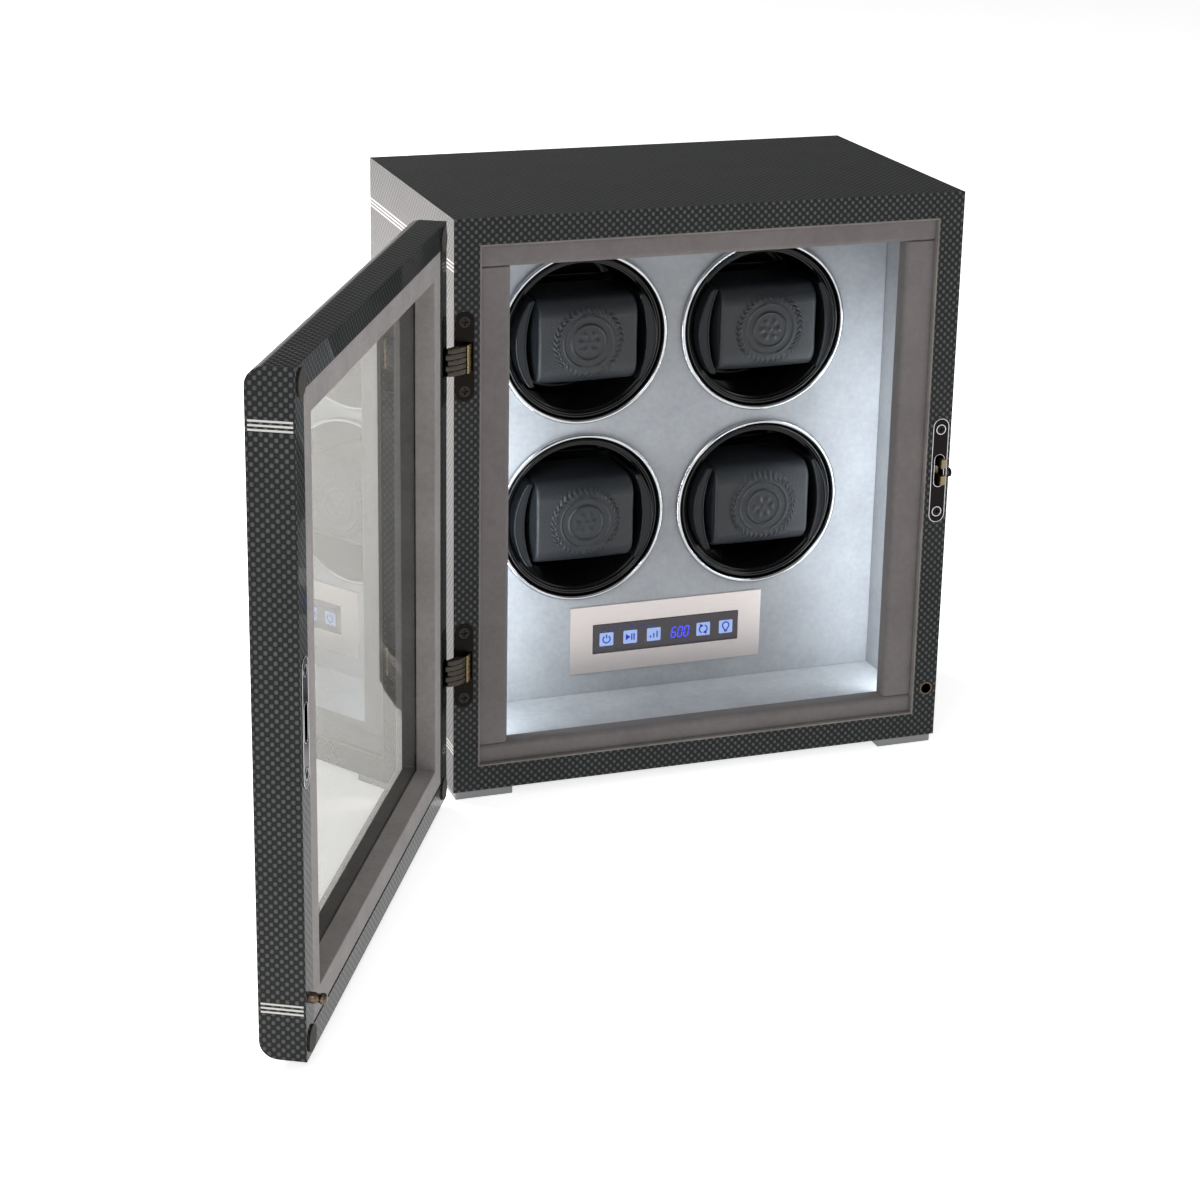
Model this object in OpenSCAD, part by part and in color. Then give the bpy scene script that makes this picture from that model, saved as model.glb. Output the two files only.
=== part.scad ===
// Watch winder box: a lacquered cabinet with four turning watch cups, a
// glazed door on concealed hinges, a push lock and a touch control plate.
// +Z is up, the door side looks to -Y, and the origin is the centre of the
// cabinet's footprint on the shelf. Inside on_cabinet() x runs from the left
// face, y back from the front face and z up from the underside.

/* [Cabinet] */
// Width of the cabinet
cab_w = 290; // [276:1:340]
// Depth of the cabinet behind the door
cab_d = 172; // [156:1:230]
// Height of the cabinet without its feet
cab_h = 320; // [304:1:380]
// Thickness of the lacquered boards
wall_t = 14; // [13:0.5:18]
// Thickness of the back cover
back_t = 5; // [3:0.5:8]
// Width of the rebate that the back cover sits in
rebate_w = 7; // [6:0.5:9]

/* [Feet] */
// Height of the feet
foot_h = 5; // [3:0.5:12]
// Side of one square foot
foot_w = 33; // [20:1:45]
// Inset of the feet from the cabinet's faces
foot_inset = 1.5; // [0:0.5:8]

/* [Lining] */
// Thickness of the thin lip round the opening
lip_t = 1; // [0.8:0.1:1.6]
// Depth of the lip
lip_d = 6; // [4:0.5:10]
// How far the lined front frame sits back from the front face
frame_recess = 2.5; // [1:0.5:5]
// Depth of the lined front frame
frame_d = 10; // [8:0.5:20]
// Width of the front frame's stiles
stile_w = 17; // [12:0.5:22]
// Height of the front frame's top rail
top_rail_h = 12; // [8:0.5:18]
// Height of the front frame's bottom rail
bottom_rail_h = 10.5; // [8:0.5:16]
// Radius of the rounded inner edges of the front frame
frame_edge_r = 3; // [1:0.5:4]
// Thickness of the side linings
liner_t = 2; // [1.5:0.5:4]
// Thickness of the padded floor and ceiling
floor_t = 9.8; // [5:0.2:12]
// Distance of the winder panel's face behind the front face
panel_y = 61; // [55:0.5:66]
// Thickness of the winder panel
panel_t = 9; // [6:0.5:12]
// Width of one light strip
led_w = 8; // [5:0.5:10]
// Thickness of one light strip
led_t = 1.5; // [1:0.1:2]

/* [Winders] */
// Distance between the left and right cups
cup_dx = 107; // [106:0.5:112]
// Distance between the lower and upper cups
cup_dz = 104.4; // [104:0.2:110]
// Height of the lower cups' centres above the underside
cup_z = 131.7; // [128:0.1:140]
// Outer diameter of the bright bezel
bezel_d = 98.7; // [97:0.1:102]
// Inner diameter of the bright bezel
bezel_in_d = 93.4; // [93:0.1:94]
// How far the bezel stands off the panel
bezel_h = 3; // [1.5:0.1:5]
// Outer diameter of the turning cup
cup_d = 92; // [90:0.2:92.4]
// Inner diameter of the turning cup
cup_in_d = 84; // [83:0.2:86]
// Length of the turning cup
cup_len = 48.5; // [46:0.5:52]
// Thickness of the cup's floor
cup_floor = 3; // [2:0.5:4]
// Wall of the fixed housing
housing_t = 2; // [1.5:0.1:2]
// Diameter of the gearmotor
motor_d = 25; // [20:0.5:30]
// Length of the gearmotor
motor_len = 28; // [20:0.5:32]
// Diameter of the output shaft
shaft_d = 5; // [4:0.5:6]
// Width of the watch cushion
cushion_w = 59; // [50:0.5:59]
// Height of the watch cushion
cushion_h = 49; // [42:0.5:50]
// How far the watch cushion stands in front of the panel
cushion_out = 11; // [4:0.5:16]
// Radius of the cushion's long edges
cushion_r = 11; // [6:0.5:16]
// How far the inner face of each side cheek bows away from the cushion
cheek_bow = 5; // [2:0.1:6]

/* [Controls] */
// Width of the control plate
plate_w = 117; // [105:0.5:130]
// Height of the control plate
plate_h = 40.7; // [34:0.1:44]
// Thickness of the control plate
plate_t = 1.2; // [0.8:0.1:2]
// Height of the control plate's lower edge above the underside
plate_z = 36.4; // [30:0.1:38]
// Width of the dark display window
window_w = 89.2; // [70:0.1:95]
// Height of the dark display window
window_h = 17.6; // [14:0.1:22]
// Thickness of the circuit board
board_t = 1.6; // [1:0.1:2]

/* [Lock] */
// Height of the lock's middle above the underside
lock_z = 161; // [150:1:190]
// Distance of lock and guide from the free side's face
lock_inset = 6.4; // [6:0.1:7]
// Length of the strike plate
strike_l = 60.8; // [54:0.1:66]
// Width of the strike plate
strike_w = 9.5; // [9:0.1:10]
// Distance between the strike plate's screws
strike_screws_dz = 48.2; // [44:0.1:49]
// Length of the slot
slot_l = 18.4; // [16:0.1:22]
// Width of the slot
slot_w = 5.3; // [5:0.1:5.6]
// Diameter of the release button
button_d = 5.3; // [4:0.1:6]
// How far the button stands out of the side
button_out = 6; // [3:0.1:7]
// How far the hook stands out of the cabinet
hook_out = 4.6; // [4.4:0.1:8]
// Height of the hook
hook_h = 15; // [12:0.1:15.6]
// Thickness of the hook
hook_t = 2; // [1.5:0.1:2.2]
// Travel of the release button
button_travel = 1.8; // [1.6:0.1:2]
// Diameter of the guide pin on the door
guide_d = 5.2; // [4:0.1:5.4]
// Length of the guide pin
guide_l = 8; // [5:0.5:9]
// Height of the guide pin above the underside
guide_z = 29.1; // [27:0.1:34]

/* [Hinges] */
// Height of the lower hinge
hinge_z1 = 74.5; // [60:0.5:90]
// Height of the upper hinge
hinge_z2 = 247; // [225:0.5:255]
// Length of a hinge plate
hinge_l = 48.5; // [46:0.5:54]
// Width of a hinge plate
hinge_w = 10.4; // [10:0.1:10.8]
// Distance between a hinge plate's screws
hinge_screws_dz = 37.4; // [36:0.1:38.5]
// Depth of a hinge cup
hinge_cup_d = 11; // [10:0.1:11.5]
// Number of leaves in a hinge's link
leaf_n = 5; // [3:2:7]
// Thickness of one leaf
leaf_t = 3; // [2:0.1:3]

/* [Door] */
// Thickness of the door
door_t = 22; // [21:0.5:26]
// Gap between the closed door and the cabinet
door_gap = 1.2; // [1.2:0.1:2]
// How far the door stands open
door_open = 118.3; // [90:0.1:130]
// Radius of the door's top and bottom front edges
door_edge_r = 8.6; // [4:0.1:9]
// Width of the door frame round the glass
door_frame_w = 25.5; // [24:0.5:30]
// Width of the lacquered border on the inner face
border_w = 12.5; // [12.5:0.1:14]
// Depth of the lined reveal in front of the glass
reveal_d = 11; // [8:0.5:11.5]
// Thickness of the glass
glass_t = 4; // [3:0.5:5]
// Diameter of a felt bumper
bumper_d = 12.6; // [8:0.1:14]
// Thickness of a felt bumper
bumper_t = 0.9; // [0.5:0.1:0.9]

/* [Hidden] */
$fn = 48;

fit = 0.3;             // gap that keeps neighbours apart
snug = 0.02;           // radial gap of a part pressed in its seat
proud = 0.3;           // how far a let-in plate stands out
plate_let = 1.2;       // thickness of every let-in plate
screw_r = 1.5;         // radius of a wood screw's shank
screw_head_r = 3.2;    // radius of its head
screw_head_h = 1.9;    // height of its countersunk head
screw_l = 12;          // length of a wood screw
back_screw_inset = 3.6; // back screws from the cover's edge
opening_z0 = wall_t + lip_t + bottom_rail_h;
opening_z1 = cab_h - wall_t - lip_t - top_rail_h;
frame_y1 = frame_recess + frame_d;
inner_z0 = wall_t + floor_t;
inner_z1 = cab_h - wall_t - floor_t;
panel_y1 = panel_y + panel_t;
back_y = cab_d - back_t;
mid_x = cab_w / 2;

// Winder cups, measured back from the panel's face
cup_front = -1.7;              // the cup's rim stands this far in front
cup_back = cup_front + cup_len;
cup_rim_t = 1.8;               // depth of the rim's step
hub_r = 8;
hub_l = 3.2;
housing_in_r = cup_d / 2 + 1.2;
housing_r = housing_in_r + housing_t;
housing_y1 = cup_back + hub_l + 1.2;
housing_floor = 3;
housing_flange = 2.2;
boss_r = 6;
cushion_front = -cushion_out;
cradle_plate_t = 3;
cradle_back = cup_back - cup_floor - fit;
cheek_r = cup_in_d / 2 - 0.8;
cheek_front = cushion_front + 3;

// Lock, guide and hinge places in the cabinet's own x
lock_x = cab_w - lock_inset;
hinge_x = 0.7 + hinge_w / 2;
pivot_x = -2.5;
pivot_y = -0.26;
// Across the lock, x is measured from the slot's middle
case_wall = 1;
// The hook's face away from the button, clear of the slot when pushed
hook_x0 = -slot_w / 2 + button_travel + 0.25;
catch_gap = 0.3;               // from the hook to the button's rod
rod_x0 = hook_x0 + hook_t + catch_gap;
barb_x = slot_w / 2 + 0.55;    // the barb catches behind the slot's edge
barb_y = -door_gap - plate_let + proud - 0.3;
prong_gap = 4.4;               // between the hook's two prongs
case_x0 = hook_x0 - button_travel - fit - case_wall;
case_x1 = slot_w / 2 + case_wall + 0.7;
button_rod_r = 1.5;
button_z = lock_z - 5;
button_y = 8.4 + button_rod_r;
case_d = button_y + 5;
case_h = 34;
bush_r = guide_d / 2 + 1.2;
bush_l = guide_l + 3;
bumper_in = 8;
cup_wall = 1;
leaf_stack = leaf_n * leaf_t;
link_in = 4.5;                 // nearest the link comes to the pivot
link_out = 9;
link_half = 9.2;               // half the link's length at its inner edge
link_half_out = 5.4;
link_pin_r = 1.5;

// ---------- helpers ----------

// Cabinet coordinates: from the left face, front face and underside
module on_cabinet() translate([-cab_w / 2, -cab_d / 2, foot_h]) children();

// The door is drawn shut and swung open about the hinge axis
module on_door()
    on_cabinet() translate([pivot_x, pivot_y, 0]) rotate([0, 0, -door_open])
        translate([-pivot_x, -pivot_y, 0]) children();

// An outline in x and z, carried from y0 to y1
module prism_y(y0, y1)
    translate([0, y1, 0]) rotate([90, 0, 0]) linear_extrude(y1 - y0) children();

// An outline in y and z, carried from x0 to x1
module prism_x(x0, x1)
    translate([x0, 0, 0]) rotate([90, 0, 90]) linear_extrude(x1 - x0) children();

// A box from its lowest to its highest corner
module block(a, b) translate(a) cube(b - a);

// A solid of revolution about y: the outline is radius and depth
module turned_y(x, y, z, fn = 96)
    translate([x, y, z]) rotate([-90, 0, 0]) rotate_extrude($fn = fn) children();

// A round bar along y
module bar_y(x, y0, y1, z, r)
    translate([x, y0, z]) rotate([-90, 0, 0]) cylinder(r = r, h = y1 - y0);

// A frame member: the outline between an outer and an inner rectangle,
// mitred at both ends. side: 0 bottom, 1 right, 2 top, 3 left
module member(side, x0, z0, x1, z1, m) {
    shapes = [
        [[x0, z0], [x1, z0], [x1 - m, z0 + m], [x0 + m, z0 + m]],
        [[x1, z0], [x1, z1], [x1 - m, z1 - m], [x1 - m, z0 + m]],
        [[x1, z1], [x0, z1], [x0 + m, z1 - m], [x1 - m, z1 - m]],
        [[x0, z1], [x0, z0], [x0 + m, z0 + m], [x0 + m, z1 - m]]
    ];
    polygon(shapes[side]);
}

// A plate outline with round ends, upright, in x and z
module slot_outline(l, w) {
    square([w, l - w], center = true);
    for (s = [-1, 1]) translate([0, s * (l - w) / 2]) circle(d = w);
}

// A rounded rectangle outline about the origin
module soft_rect(w, h, r) {
    square([w, h - 2 * r], center = true);
    square([w - 2 * r, h], center = true);
    for (x = [-1, 1], y = [-1, 1])
        translate([x * (w / 2 - r), y * (h / 2 - r)]) circle(r);
}

// A countersunk wood screw driven along +y, with a cross recess
module screw_y(x, y, z)
    difference() {
        turned_y(x, y, z, 32)
            polygon([
                [0, 0], [screw_head_r, 0], [screw_head_r, 0.3],
                [screw_r, screw_head_h], [screw_r, screw_l - 2], [0, screw_l]
            ]);
        for (a = [0, 90])
            translate([x, y, z]) rotate([0, a, 0])
                block([-1.8, -1, -0.4], [1.8, 1.1, 0.4]);
    }

// The room that a wood screw needs in its plate and its board
module screw_room_y(x, y, z)
    turned_y(x, y - 1, z, 32)
        polygon([
            [0, 0], [screw_head_r + 0.15, 0], [screw_head_r + 0.15, 1.35],
            [screw_r + 0.1, screw_head_h + 1.1], [screw_r + 0.1, screw_l + 1.5],
            [0, screw_l + 1.5]
        ]);

// A let-in plate with a slot or cup mouth and two screw holes, on the
// plane y = 0 with its body behind
module let_in_plate(x, z, l, w, screws_dz)
    difference() {
        translate([x, 0, z]) prism_y(-proud, plate_let - proud)
            slot_outline(l, w);
        for (s = [-1, 1]) screw_room_y(x, -proud, z + s * screws_dz / 2);
    }

// Holes that the lock and the hinges need in the front of a board
module plate_pocket(x, z, l, w, screws_dz) {
    translate([x, 0, z]) prism_y(-1, plate_let - proud)
        slot_outline(l + 0.1, w + 0.1);
    for (s = [-1, 1]) screw_room_y(x, -proud, z + s * screws_dz / 2);
}

// Mirrors a front fitting so that it sits on the shut door's inner face
module facing() translate([0, -door_gap, 0]) mirror([0, 1, 0]) children();

// ---------- cabinet shell ----------

module shell_board(side) {
    difference() {
        prism_y(0, cab_d) member(side, 0, 0, cab_w, cab_h, wall_t);
        block(
            [wall_t - rebate_w, back_y - 0.1, wall_t - rebate_w],
            [cab_w - wall_t + rebate_w, cab_d + 1, cab_h - wall_t + rebate_w]
        );
        back_screw_places() screw_room_back();
    }
}

// The back screws stand round the cover's edge
module back_screw_places() {
    in = wall_t - rebate_w + back_screw_inset;
    for (x = [in, cab_w - in], z = [in + 22, mid_height(), cab_h - in - 22])
        translate([x, cab_d, z]) children();
    for (z = [in, cab_h - in]) translate([mid_x, cab_d, z]) children();
}

function mid_height() = cab_h / 2;

module screw_room_back() mirror([0, 1, 0]) screw_room_y(0, 0, 0);

module top_board() color([0.13, 0.13, 0.14]) on_cabinet() shell_board(2);

module bottom_board() color([0.13, 0.13, 0.14]) on_cabinet() shell_board(0);

module left_board()
    color([0.13, 0.13, 0.14]) on_cabinet() difference() {
        shell_board(3);
        for (z = [hinge_z1, hinge_z2]) hinge_mortise(z);
    }

module right_board()
    color([0.13, 0.13, 0.14]) on_cabinet() difference() {
        shell_board(1);
        plate_pocket(lock_x, lock_z, strike_l, strike_w, strike_screws_dz);
        block(
            [lock_x + case_x0 - 0.1, -1, lock_z - case_h / 2 - 0.1],
            [lock_x + case_x1 + 0.1, case_d + 0.2, lock_z + case_h / 2 + 0.1]
        );
        button_bore(cab_w + 1);
        bar_y(lock_x, -1, bush_l, guide_z, bush_r);
    }

module button_bore(x1)
    translate([lock_x, button_y, button_z]) rotate([0, 90, 0])
        cylinder(d = button_d + 2 * fit, h = x1 - lock_x);

module feet()
    color([0.72, 0.73, 0.74]) on_cabinet()
        for (x = [foot_inset, cab_w - foot_inset - foot_w],
             y = [foot_inset, cab_d - foot_inset - foot_w])
            block([x, y, -foot_h], [x + foot_w, y + foot_w, 0]);

module back_cover() {
    in = wall_t - rebate_w + 0.2;
    color([0.09, 0.09, 0.09]) on_cabinet() difference() {
        block([in, back_y, in], [cab_w - in, cab_d, cab_h - in]);
        back_screw_places() screw_room_back();
        translate([socket_x(), back_y - 1, socket_z()])
            rotate([-90, 0, 0]) cylinder(r = 5.6, h = back_t + 2);
    }
}

module back_screws()
    color([0.2, 0.2, 0.21]) on_cabinet()
        back_screw_places() mirror([0, 1, 0]) screw_y(0, 0, 0);

function socket_x() = cab_w - 45;
function socket_z() = 40;

// Round inlet for the power adapter: a flanged body with a centre contact
module power_socket()
    color([0.1, 0.1, 0.1]) on_cabinet() {
        difference() {
            turned_y(socket_x(), back_y - 8, socket_z(), 48)
                polygon([
                    [0, 0], [5.4, 0], [5.4, 8 + back_t], [7, 8 + back_t],
                    [7, 9.4 + back_t], [0, 9.4 + back_t]
                ]);
            bar_y(socket_x(), back_y - 6, cab_d + 3, socket_z(), 3.2);
        }
        bar_y(socket_x(), back_y - 6.5, cab_d - 1.5, socket_z(), 1.05);
    }

// ---------- lining ----------

module opening_lip() {
    o = wall_t;
    color([0.62, 0.6, 0.6]) on_cabinet() prism_y(-0.2, lip_d) difference() {
        translate([o, o]) square([cab_w - 2 * o, cab_h - 2 * o]);
        translate([o + lip_t, o + lip_t])
            square([cab_w - 2 * (o + lip_t), cab_h - 2 * (o + lip_t)]);
    }
}

// A rail outline in y and z with one rounded front edge on its open side
module rail_outline(z0, z1, open_up) {
    y0 = frame_recess;
    ze = open_up ? z1 : z0;
    s = open_up ? -1 : 1;
    difference() {
        translate([y0, z0]) square([frame_d, z1 - z0]);
        difference() {
            translate([y0 - 1, ze + (open_up ? -frame_edge_r : -1)])
                square([frame_edge_r + 1, frame_edge_r + 1]);
            translate([y0 + frame_edge_r, ze + s * frame_edge_r])
                circle(frame_edge_r);
        }
    }
}

module rail_span() {
    x0 = wall_t + lip_t + 0.1;
    prism_x(x0, cab_w - x0) children();
}

module frame_top_rail()
    color([0.45, 0.42, 0.42]) on_cabinet() rail_span()
        rail_outline(opening_z1, cab_h - wall_t - lip_t - 0.1, false);

module frame_bottom_rail()
    color([0.45, 0.42, 0.42]) on_cabinet() rail_span()
        rail_outline(wall_t + lip_t + 0.1, opening_z0, true);

// Stile outline in x and y with a rounded inner front edge
module stile_outline() {
    x0 = wall_t + lip_t + 0.1;
    x1 = wall_t + lip_t + stile_w;
    difference() {
        translate([x0, frame_recess + 0.4]) square([x1 - x0, frame_d - 0.4]);
        difference() {
            translate([x1 - frame_edge_r, frame_recess - 0.6])
                square([frame_edge_r + 1, frame_edge_r + 1]);
            translate([x1 - frame_edge_r, frame_recess + 0.4 + frame_edge_r])
                circle(frame_edge_r);
        }
    }
}

module stile() translate([0, 0, opening_z0]) linear_extrude(opening_z1 - opening_z0)
    stile_outline();

module both_sides() {
    children();
    translate([cab_w, 0, 0]) mirror([1, 0, 0]) children();
}

module frame_stiles() color([0.45, 0.42, 0.42]) on_cabinet() both_sides() stile();

// Light strips stuck to the back of the stiles
module led_strips()
    color([0.9, 0.93, 1]) on_cabinet() both_sides()
        block(
            [wall_t + liner_t + 2, frame_y1, opening_z0 + 8],
            [wall_t + liner_t + 2 + led_w, frame_y1 + led_t, opening_z1 - 8]
        );

module side_liners()
    color([0.6, 0.6, 0.62]) on_cabinet() both_sides()
        block([wall_t, frame_y1, inner_z0], [wall_t + liner_t, panel_y1, inner_z1]);

module floor_pad()
    color([0.62, 0.63, 0.65]) on_cabinet()
        block([wall_t, frame_y1, wall_t], [cab_w - wall_t, panel_y1, inner_z0]);

module ceiling_pad()
    color([0.62, 0.63, 0.65]) on_cabinet()
        block([wall_t, frame_y1, inner_z1],
              [cab_w - wall_t, panel_y1, cab_h - wall_t]);

module rotor_places() for (sx = [-1, 1], sz = [0, 1])
    translate([mid_x + sx * cup_dx / 2, panel_y, cup_z + sz * cup_dz]) children();

module winder_panel() {
    g = 0.1;
    color([0.6, 0.61, 0.64]) on_cabinet() difference() {
        block([wall_t + liner_t + g, panel_y, inner_z0],
              [cab_w - wall_t - liner_t - g, panel_y1, inner_z1]);
        rotor_places() bar_y(0, -1, panel_t + 1, 0, sleeve_r() + snug);
        block([mid_x - window_w / 2 - 2, panel_y - 1, window_z() - window_h / 2 - 2],
              [mid_x + window_w / 2 + 2, panel_y1 + 1, window_z() + window_h / 2 + 2]);
    }
}

// ---------- controls ----------

function window_z() = plate_z + plate_h / 2;

module control_plate()
    color([0.82, 0.78, 0.77]) on_cabinet()
        translate([mid_x, 0, window_z()])
            prism_y(panel_y - plate_t, panel_y) difference() {
                square([plate_w, plate_h], center = true);
                square([window_w, window_h], center = true);
            }

module display_window()
    color([0.1, 0.09, 0.12]) on_cabinet()
        translate([mid_x, 0, window_z()])
            prism_y(panel_y - plate_t - 0.2, panel_y + 0.6)
                square([window_w - 0.1, window_h - 0.1], center = true);

module control_board()
    color([0.1, 0.35, 0.2]) on_cabinet() {
        y = panel_y + 0.6;
        block([mid_x - window_w / 2 - 1.5, y, window_z() - window_h / 2 - 1.5],
              [mid_x + window_w / 2 + 1.5, y + board_t,
               window_z() + window_h / 2 + 1.5]);
        for (x = [-0.32, -0.05, 0.25])
            block([mid_x + x * window_w, y + board_t, window_z() - 4],
                  [mid_x + x * window_w + 9, y + board_t + 2, window_z() + 4]);
    }

// ---------- winder cups ----------

function sleeve_r() = bezel_d / 2 - 1.2;

module bezel_rings()
    color([0.85, 0.86, 0.87]) on_cabinet() rotor_places()
        turned_y(0, 0, 0, 128)
            polygon([
                [bezel_in_d / 2, -bezel_h + 0.8], [bezel_in_d / 2 + 1, -bezel_h],
                [bezel_d / 2 - 0.9, -bezel_h], [bezel_d / 2, -bezel_h + 0.9],
                [bezel_d / 2, 0], [sleeve_r(), 0], [sleeve_r(), panel_t],
                [bezel_in_d / 2, panel_t]
            ]);

module cup_housings()
    color([0.12, 0.12, 0.13]) on_cabinet() rotor_places()
        turned_y(0, 0, 0, 96)
            polygon([
                [housing_in_r, panel_t], [housing_r + 2, panel_t],
                [housing_r + 2, panel_t + housing_flange],
                [housing_r, panel_t + housing_flange],
                [housing_r, housing_y1 + housing_floor],
                [boss_r + fit, housing_y1 + housing_floor],
                [boss_r + fit, housing_y1], [housing_in_r, housing_y1]
            ]);

// Gearmotor: a front boss through the housing, a can and a rear cap
module gearmotors() {
    y0 = housing_y1 + housing_floor;
    color([0.62, 0.63, 0.65]) on_cabinet() rotor_places() difference() {
        turned_y(0, 0, 0, 64)
            polygon([
                [0, housing_y1], [boss_r, housing_y1], [boss_r, y0],
                [motor_d / 2, y0], [motor_d / 2, y0 + motor_len * 0.55],
                [motor_d / 2 - 1.5, y0 + motor_len * 0.55],
                [motor_d / 2 - 1.5, y0 + motor_len], [2, y0 + motor_len],
                [2, y0 + motor_len + 1.5], [0, y0 + motor_len + 1.5]
            ]);
        bar_y(0, housing_y1 - 1, y0 + 6.5, 0, shaft_d / 2 + 0.05);
    }
}

// Places one turning part: sx -1 left, 1 right; sz 0 low, 1 top
module at_cup(sx, sz) on_cabinet()
    translate([mid_x + sx * cup_dx / 2, panel_y, cup_z + sz * cup_dz]) children();

// The turning cup, open to the front, with a stepped rim and a rear hub
module watch_cup() {
    ri = cup_in_d / 2;
    color([0.05, 0.05, 0.055]) turned_y(0, 0, 0, 128)
        polygon([
            [ri + 1, cup_front], [cup_d / 2 - 0.6, cup_front],
            [cup_d / 2, cup_front + 0.6], [cup_d / 2, cup_back - 1.5],
            [cup_d / 2 - 1.5, cup_back], [hub_r, cup_back],
            [hub_r, cup_back + hub_l], [shaft_seat_r(), cup_back + hub_l],
            [shaft_seat_r(), cup_back - cup_floor + 1],
            [0, cup_back - cup_floor + 1], [0, cup_back - cup_floor],
            [ri, cup_back - cup_floor], [ri, cup_front + cup_rim_t],
            [ri + 1, cup_front + cup_rim_t]
        ]);
}

function shaft_seat_r() = shaft_d / 2 + snug;

module output_shaft()
    color([0.75, 0.75, 0.76])
        bar_y(0, cup_back - cup_floor + 1.1, housing_y1 + housing_floor + 6, 0,
              shaft_d / 2);

// The cushion's cradle: a back plate that sits on the cup's floor and two
// crescent cheeks between the cushion's bowed ends and the cup's wall
module cushion_cradle() {
    y0 = cradle_back - cradle_plate_t;
    reach = cushion_w / 2 + fit + cheek_bow;
    bow_r = (pow(cushion_h / 2, 2) + pow(cheek_bow, 2)) / (2 * cheek_bow);
    color([0.16, 0.17, 0.18]) {
        intersection() {
            bar_y(0, y0, cradle_back, 0, cheek_r);
            block([-cheek_r, y0 - 1, -cushion_h / 2], [cheek_r, 60, cushion_h / 2]);
        }
        difference() {
            intersection() {
                bar_y(0, cheek_front, y0, 0, cheek_r);
                block([-cheek_r, cheek_front - 1, -cushion_h / 2],
                      [cheek_r, y0, cushion_h / 2]);
            }
            intersection() {
                bar_y(reach - bow_r, cheek_front - 1, y0 + 1, 0, bow_r);
                bar_y(bow_r - reach, cheek_front - 1, y0 + 1, 0, bow_r);
            }
        }
    }
}

module watch_cushion()
    color([0.17, 0.18, 0.2])
        translate([0, (cushion_front + cushion_back()) / 2, 0])
            prism_x(-cushion_w / 2, cushion_w / 2)
                soft_rect(cushion_back() - cushion_front, cushion_h, cushion_r);

function cushion_back() = cradle_back - cradle_plate_t - fit;

// ---------- lock and guide ----------

module strike_plate()
    color([0.25, 0.24, 0.24]) on_cabinet() difference() {
        let_in_plate(lock_x, lock_z, strike_l, strike_w, strike_screws_dz);
        translate([lock_x, 0, lock_z]) prism_y(-1, 3)
            slot_outline(slot_l, slot_w);
    }

module strike_screws()
    color([0.7, 0.7, 0.7]) on_cabinet() for (s = [-1, 1])
        screw_y(lock_x, -proud, lock_z + s * strike_screws_dz / 2);

module lock_case() {
    y0 = plate_let - proud;
    color([0.66, 0.55, 0.32]) on_cabinet() difference() {
        block([lock_x + case_x0, y0, lock_z - case_h / 2],
              [lock_x + case_x1, case_d, lock_z + case_h / 2]);
        block([lock_x + case_x0 + case_wall, y0 - 1, lock_z - slot_l / 2],
              [lock_x + case_x1 - case_wall, case_d - case_wall,
               lock_z + slot_l / 2]);
        button_bore(lock_x + case_x1 + 1);
        for (s = [-1, 1])
            screw_room_y(lock_x, -proud, lock_z + s * strike_screws_dz / 2);
    }
}

// Release button: a cap outside and a thin rod that pushes the catch
module lock_button()
    color([0.25, 0.25, 0.26]) on_cabinet()
        translate([lock_x, button_y, button_z]) rotate([0, 90, 0])
            rotate_extrude() polygon([
                [0, rod_x0], [button_rod_r, rod_x0],
                [button_rod_r, case_x1 - 0.4], [button_d / 2, case_x1 - 0.4],
                [button_d / 2, lock_inset + button_out - 0.5],
                [button_d / 2 - 0.5, lock_inset + button_out],
                [0, lock_inset + button_out]
            ]);

// Sprung catch: a hook with two barbed prongs that stand out of the slot.
// The button pushes it aside, and a spring brings it back
module lock_catch() {
    x0 = lock_x + hook_x0;
    x1 = x0 + hook_t;
    color([0.72, 0.58, 0.3]) on_cabinet() {
        block([x0, 2.9, lock_z - hook_h / 2],
              [x1, case_d - case_wall - 0.3, lock_z + hook_h / 2]);
        for (z = [-hook_h / 2, prong_gap / 2])
            translate([0, 0, lock_z + z])
                linear_extrude(hook_h / 2 - prong_gap / 2) polygon([
                    [x0, 3], [x0, -hook_out], [x1 - 0.4, -hook_out],
                    [lock_x + barb_x, barb_y - 1], [lock_x + barb_x, barb_y],
                    [x1, barb_y], [x1, 3]
                ]);
    }
}

module guide_bush()
    color([0.75, 0.6, 0.32]) on_cabinet()
        turned_y(lock_x, 0, guide_z, 48)
            polygon([
                [guide_d / 2 + fit + 0.2, -0.15], [bush_r - 0.02, -0.15],
                [bush_r - 0.02, bush_l - 0.2], [0, bush_l - 0.2],
                [0, bush_l - 1.2], [guide_d / 2 + fit, bush_l - 1.2],
                [guide_d / 2 + fit, 0.2]
            ]);

// ---------- hinges ----------

module hinge_mortise(z) {
    plate_pocket(hinge_x, z, hinge_l, hinge_w, hinge_screws_dz);
    block([hinge_x - hinge_w / 2 - 0.05, -1, z - cup_room() - cup_wall - 0.05],
          [hinge_x + hinge_w / 2 + 0.05, hinge_cup_d + cup_wall + 0.1,
           z + cup_room() + cup_wall + 0.05]);
}

function cup_room() = leaf_stack / 2 + fit;

// Concealed hinge half: a plate with a deep cup for the link
module hinge_cup(z)
    difference() {
        union() {
            let_in_plate(hinge_x, z, hinge_l, hinge_w, hinge_screws_dz);
            block([hinge_x - hinge_w / 2, 0, z - cup_room() - cup_wall],
                  [hinge_x + hinge_w / 2, hinge_cup_d + cup_wall,
                   z + cup_room() + cup_wall]);
        }
        block([hinge_x - hinge_w / 2 + cup_wall, -1, z - cup_room()],
              [hinge_x + hinge_w / 2 - cup_wall, hinge_cup_d, z + cup_room()]);
    }

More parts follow.
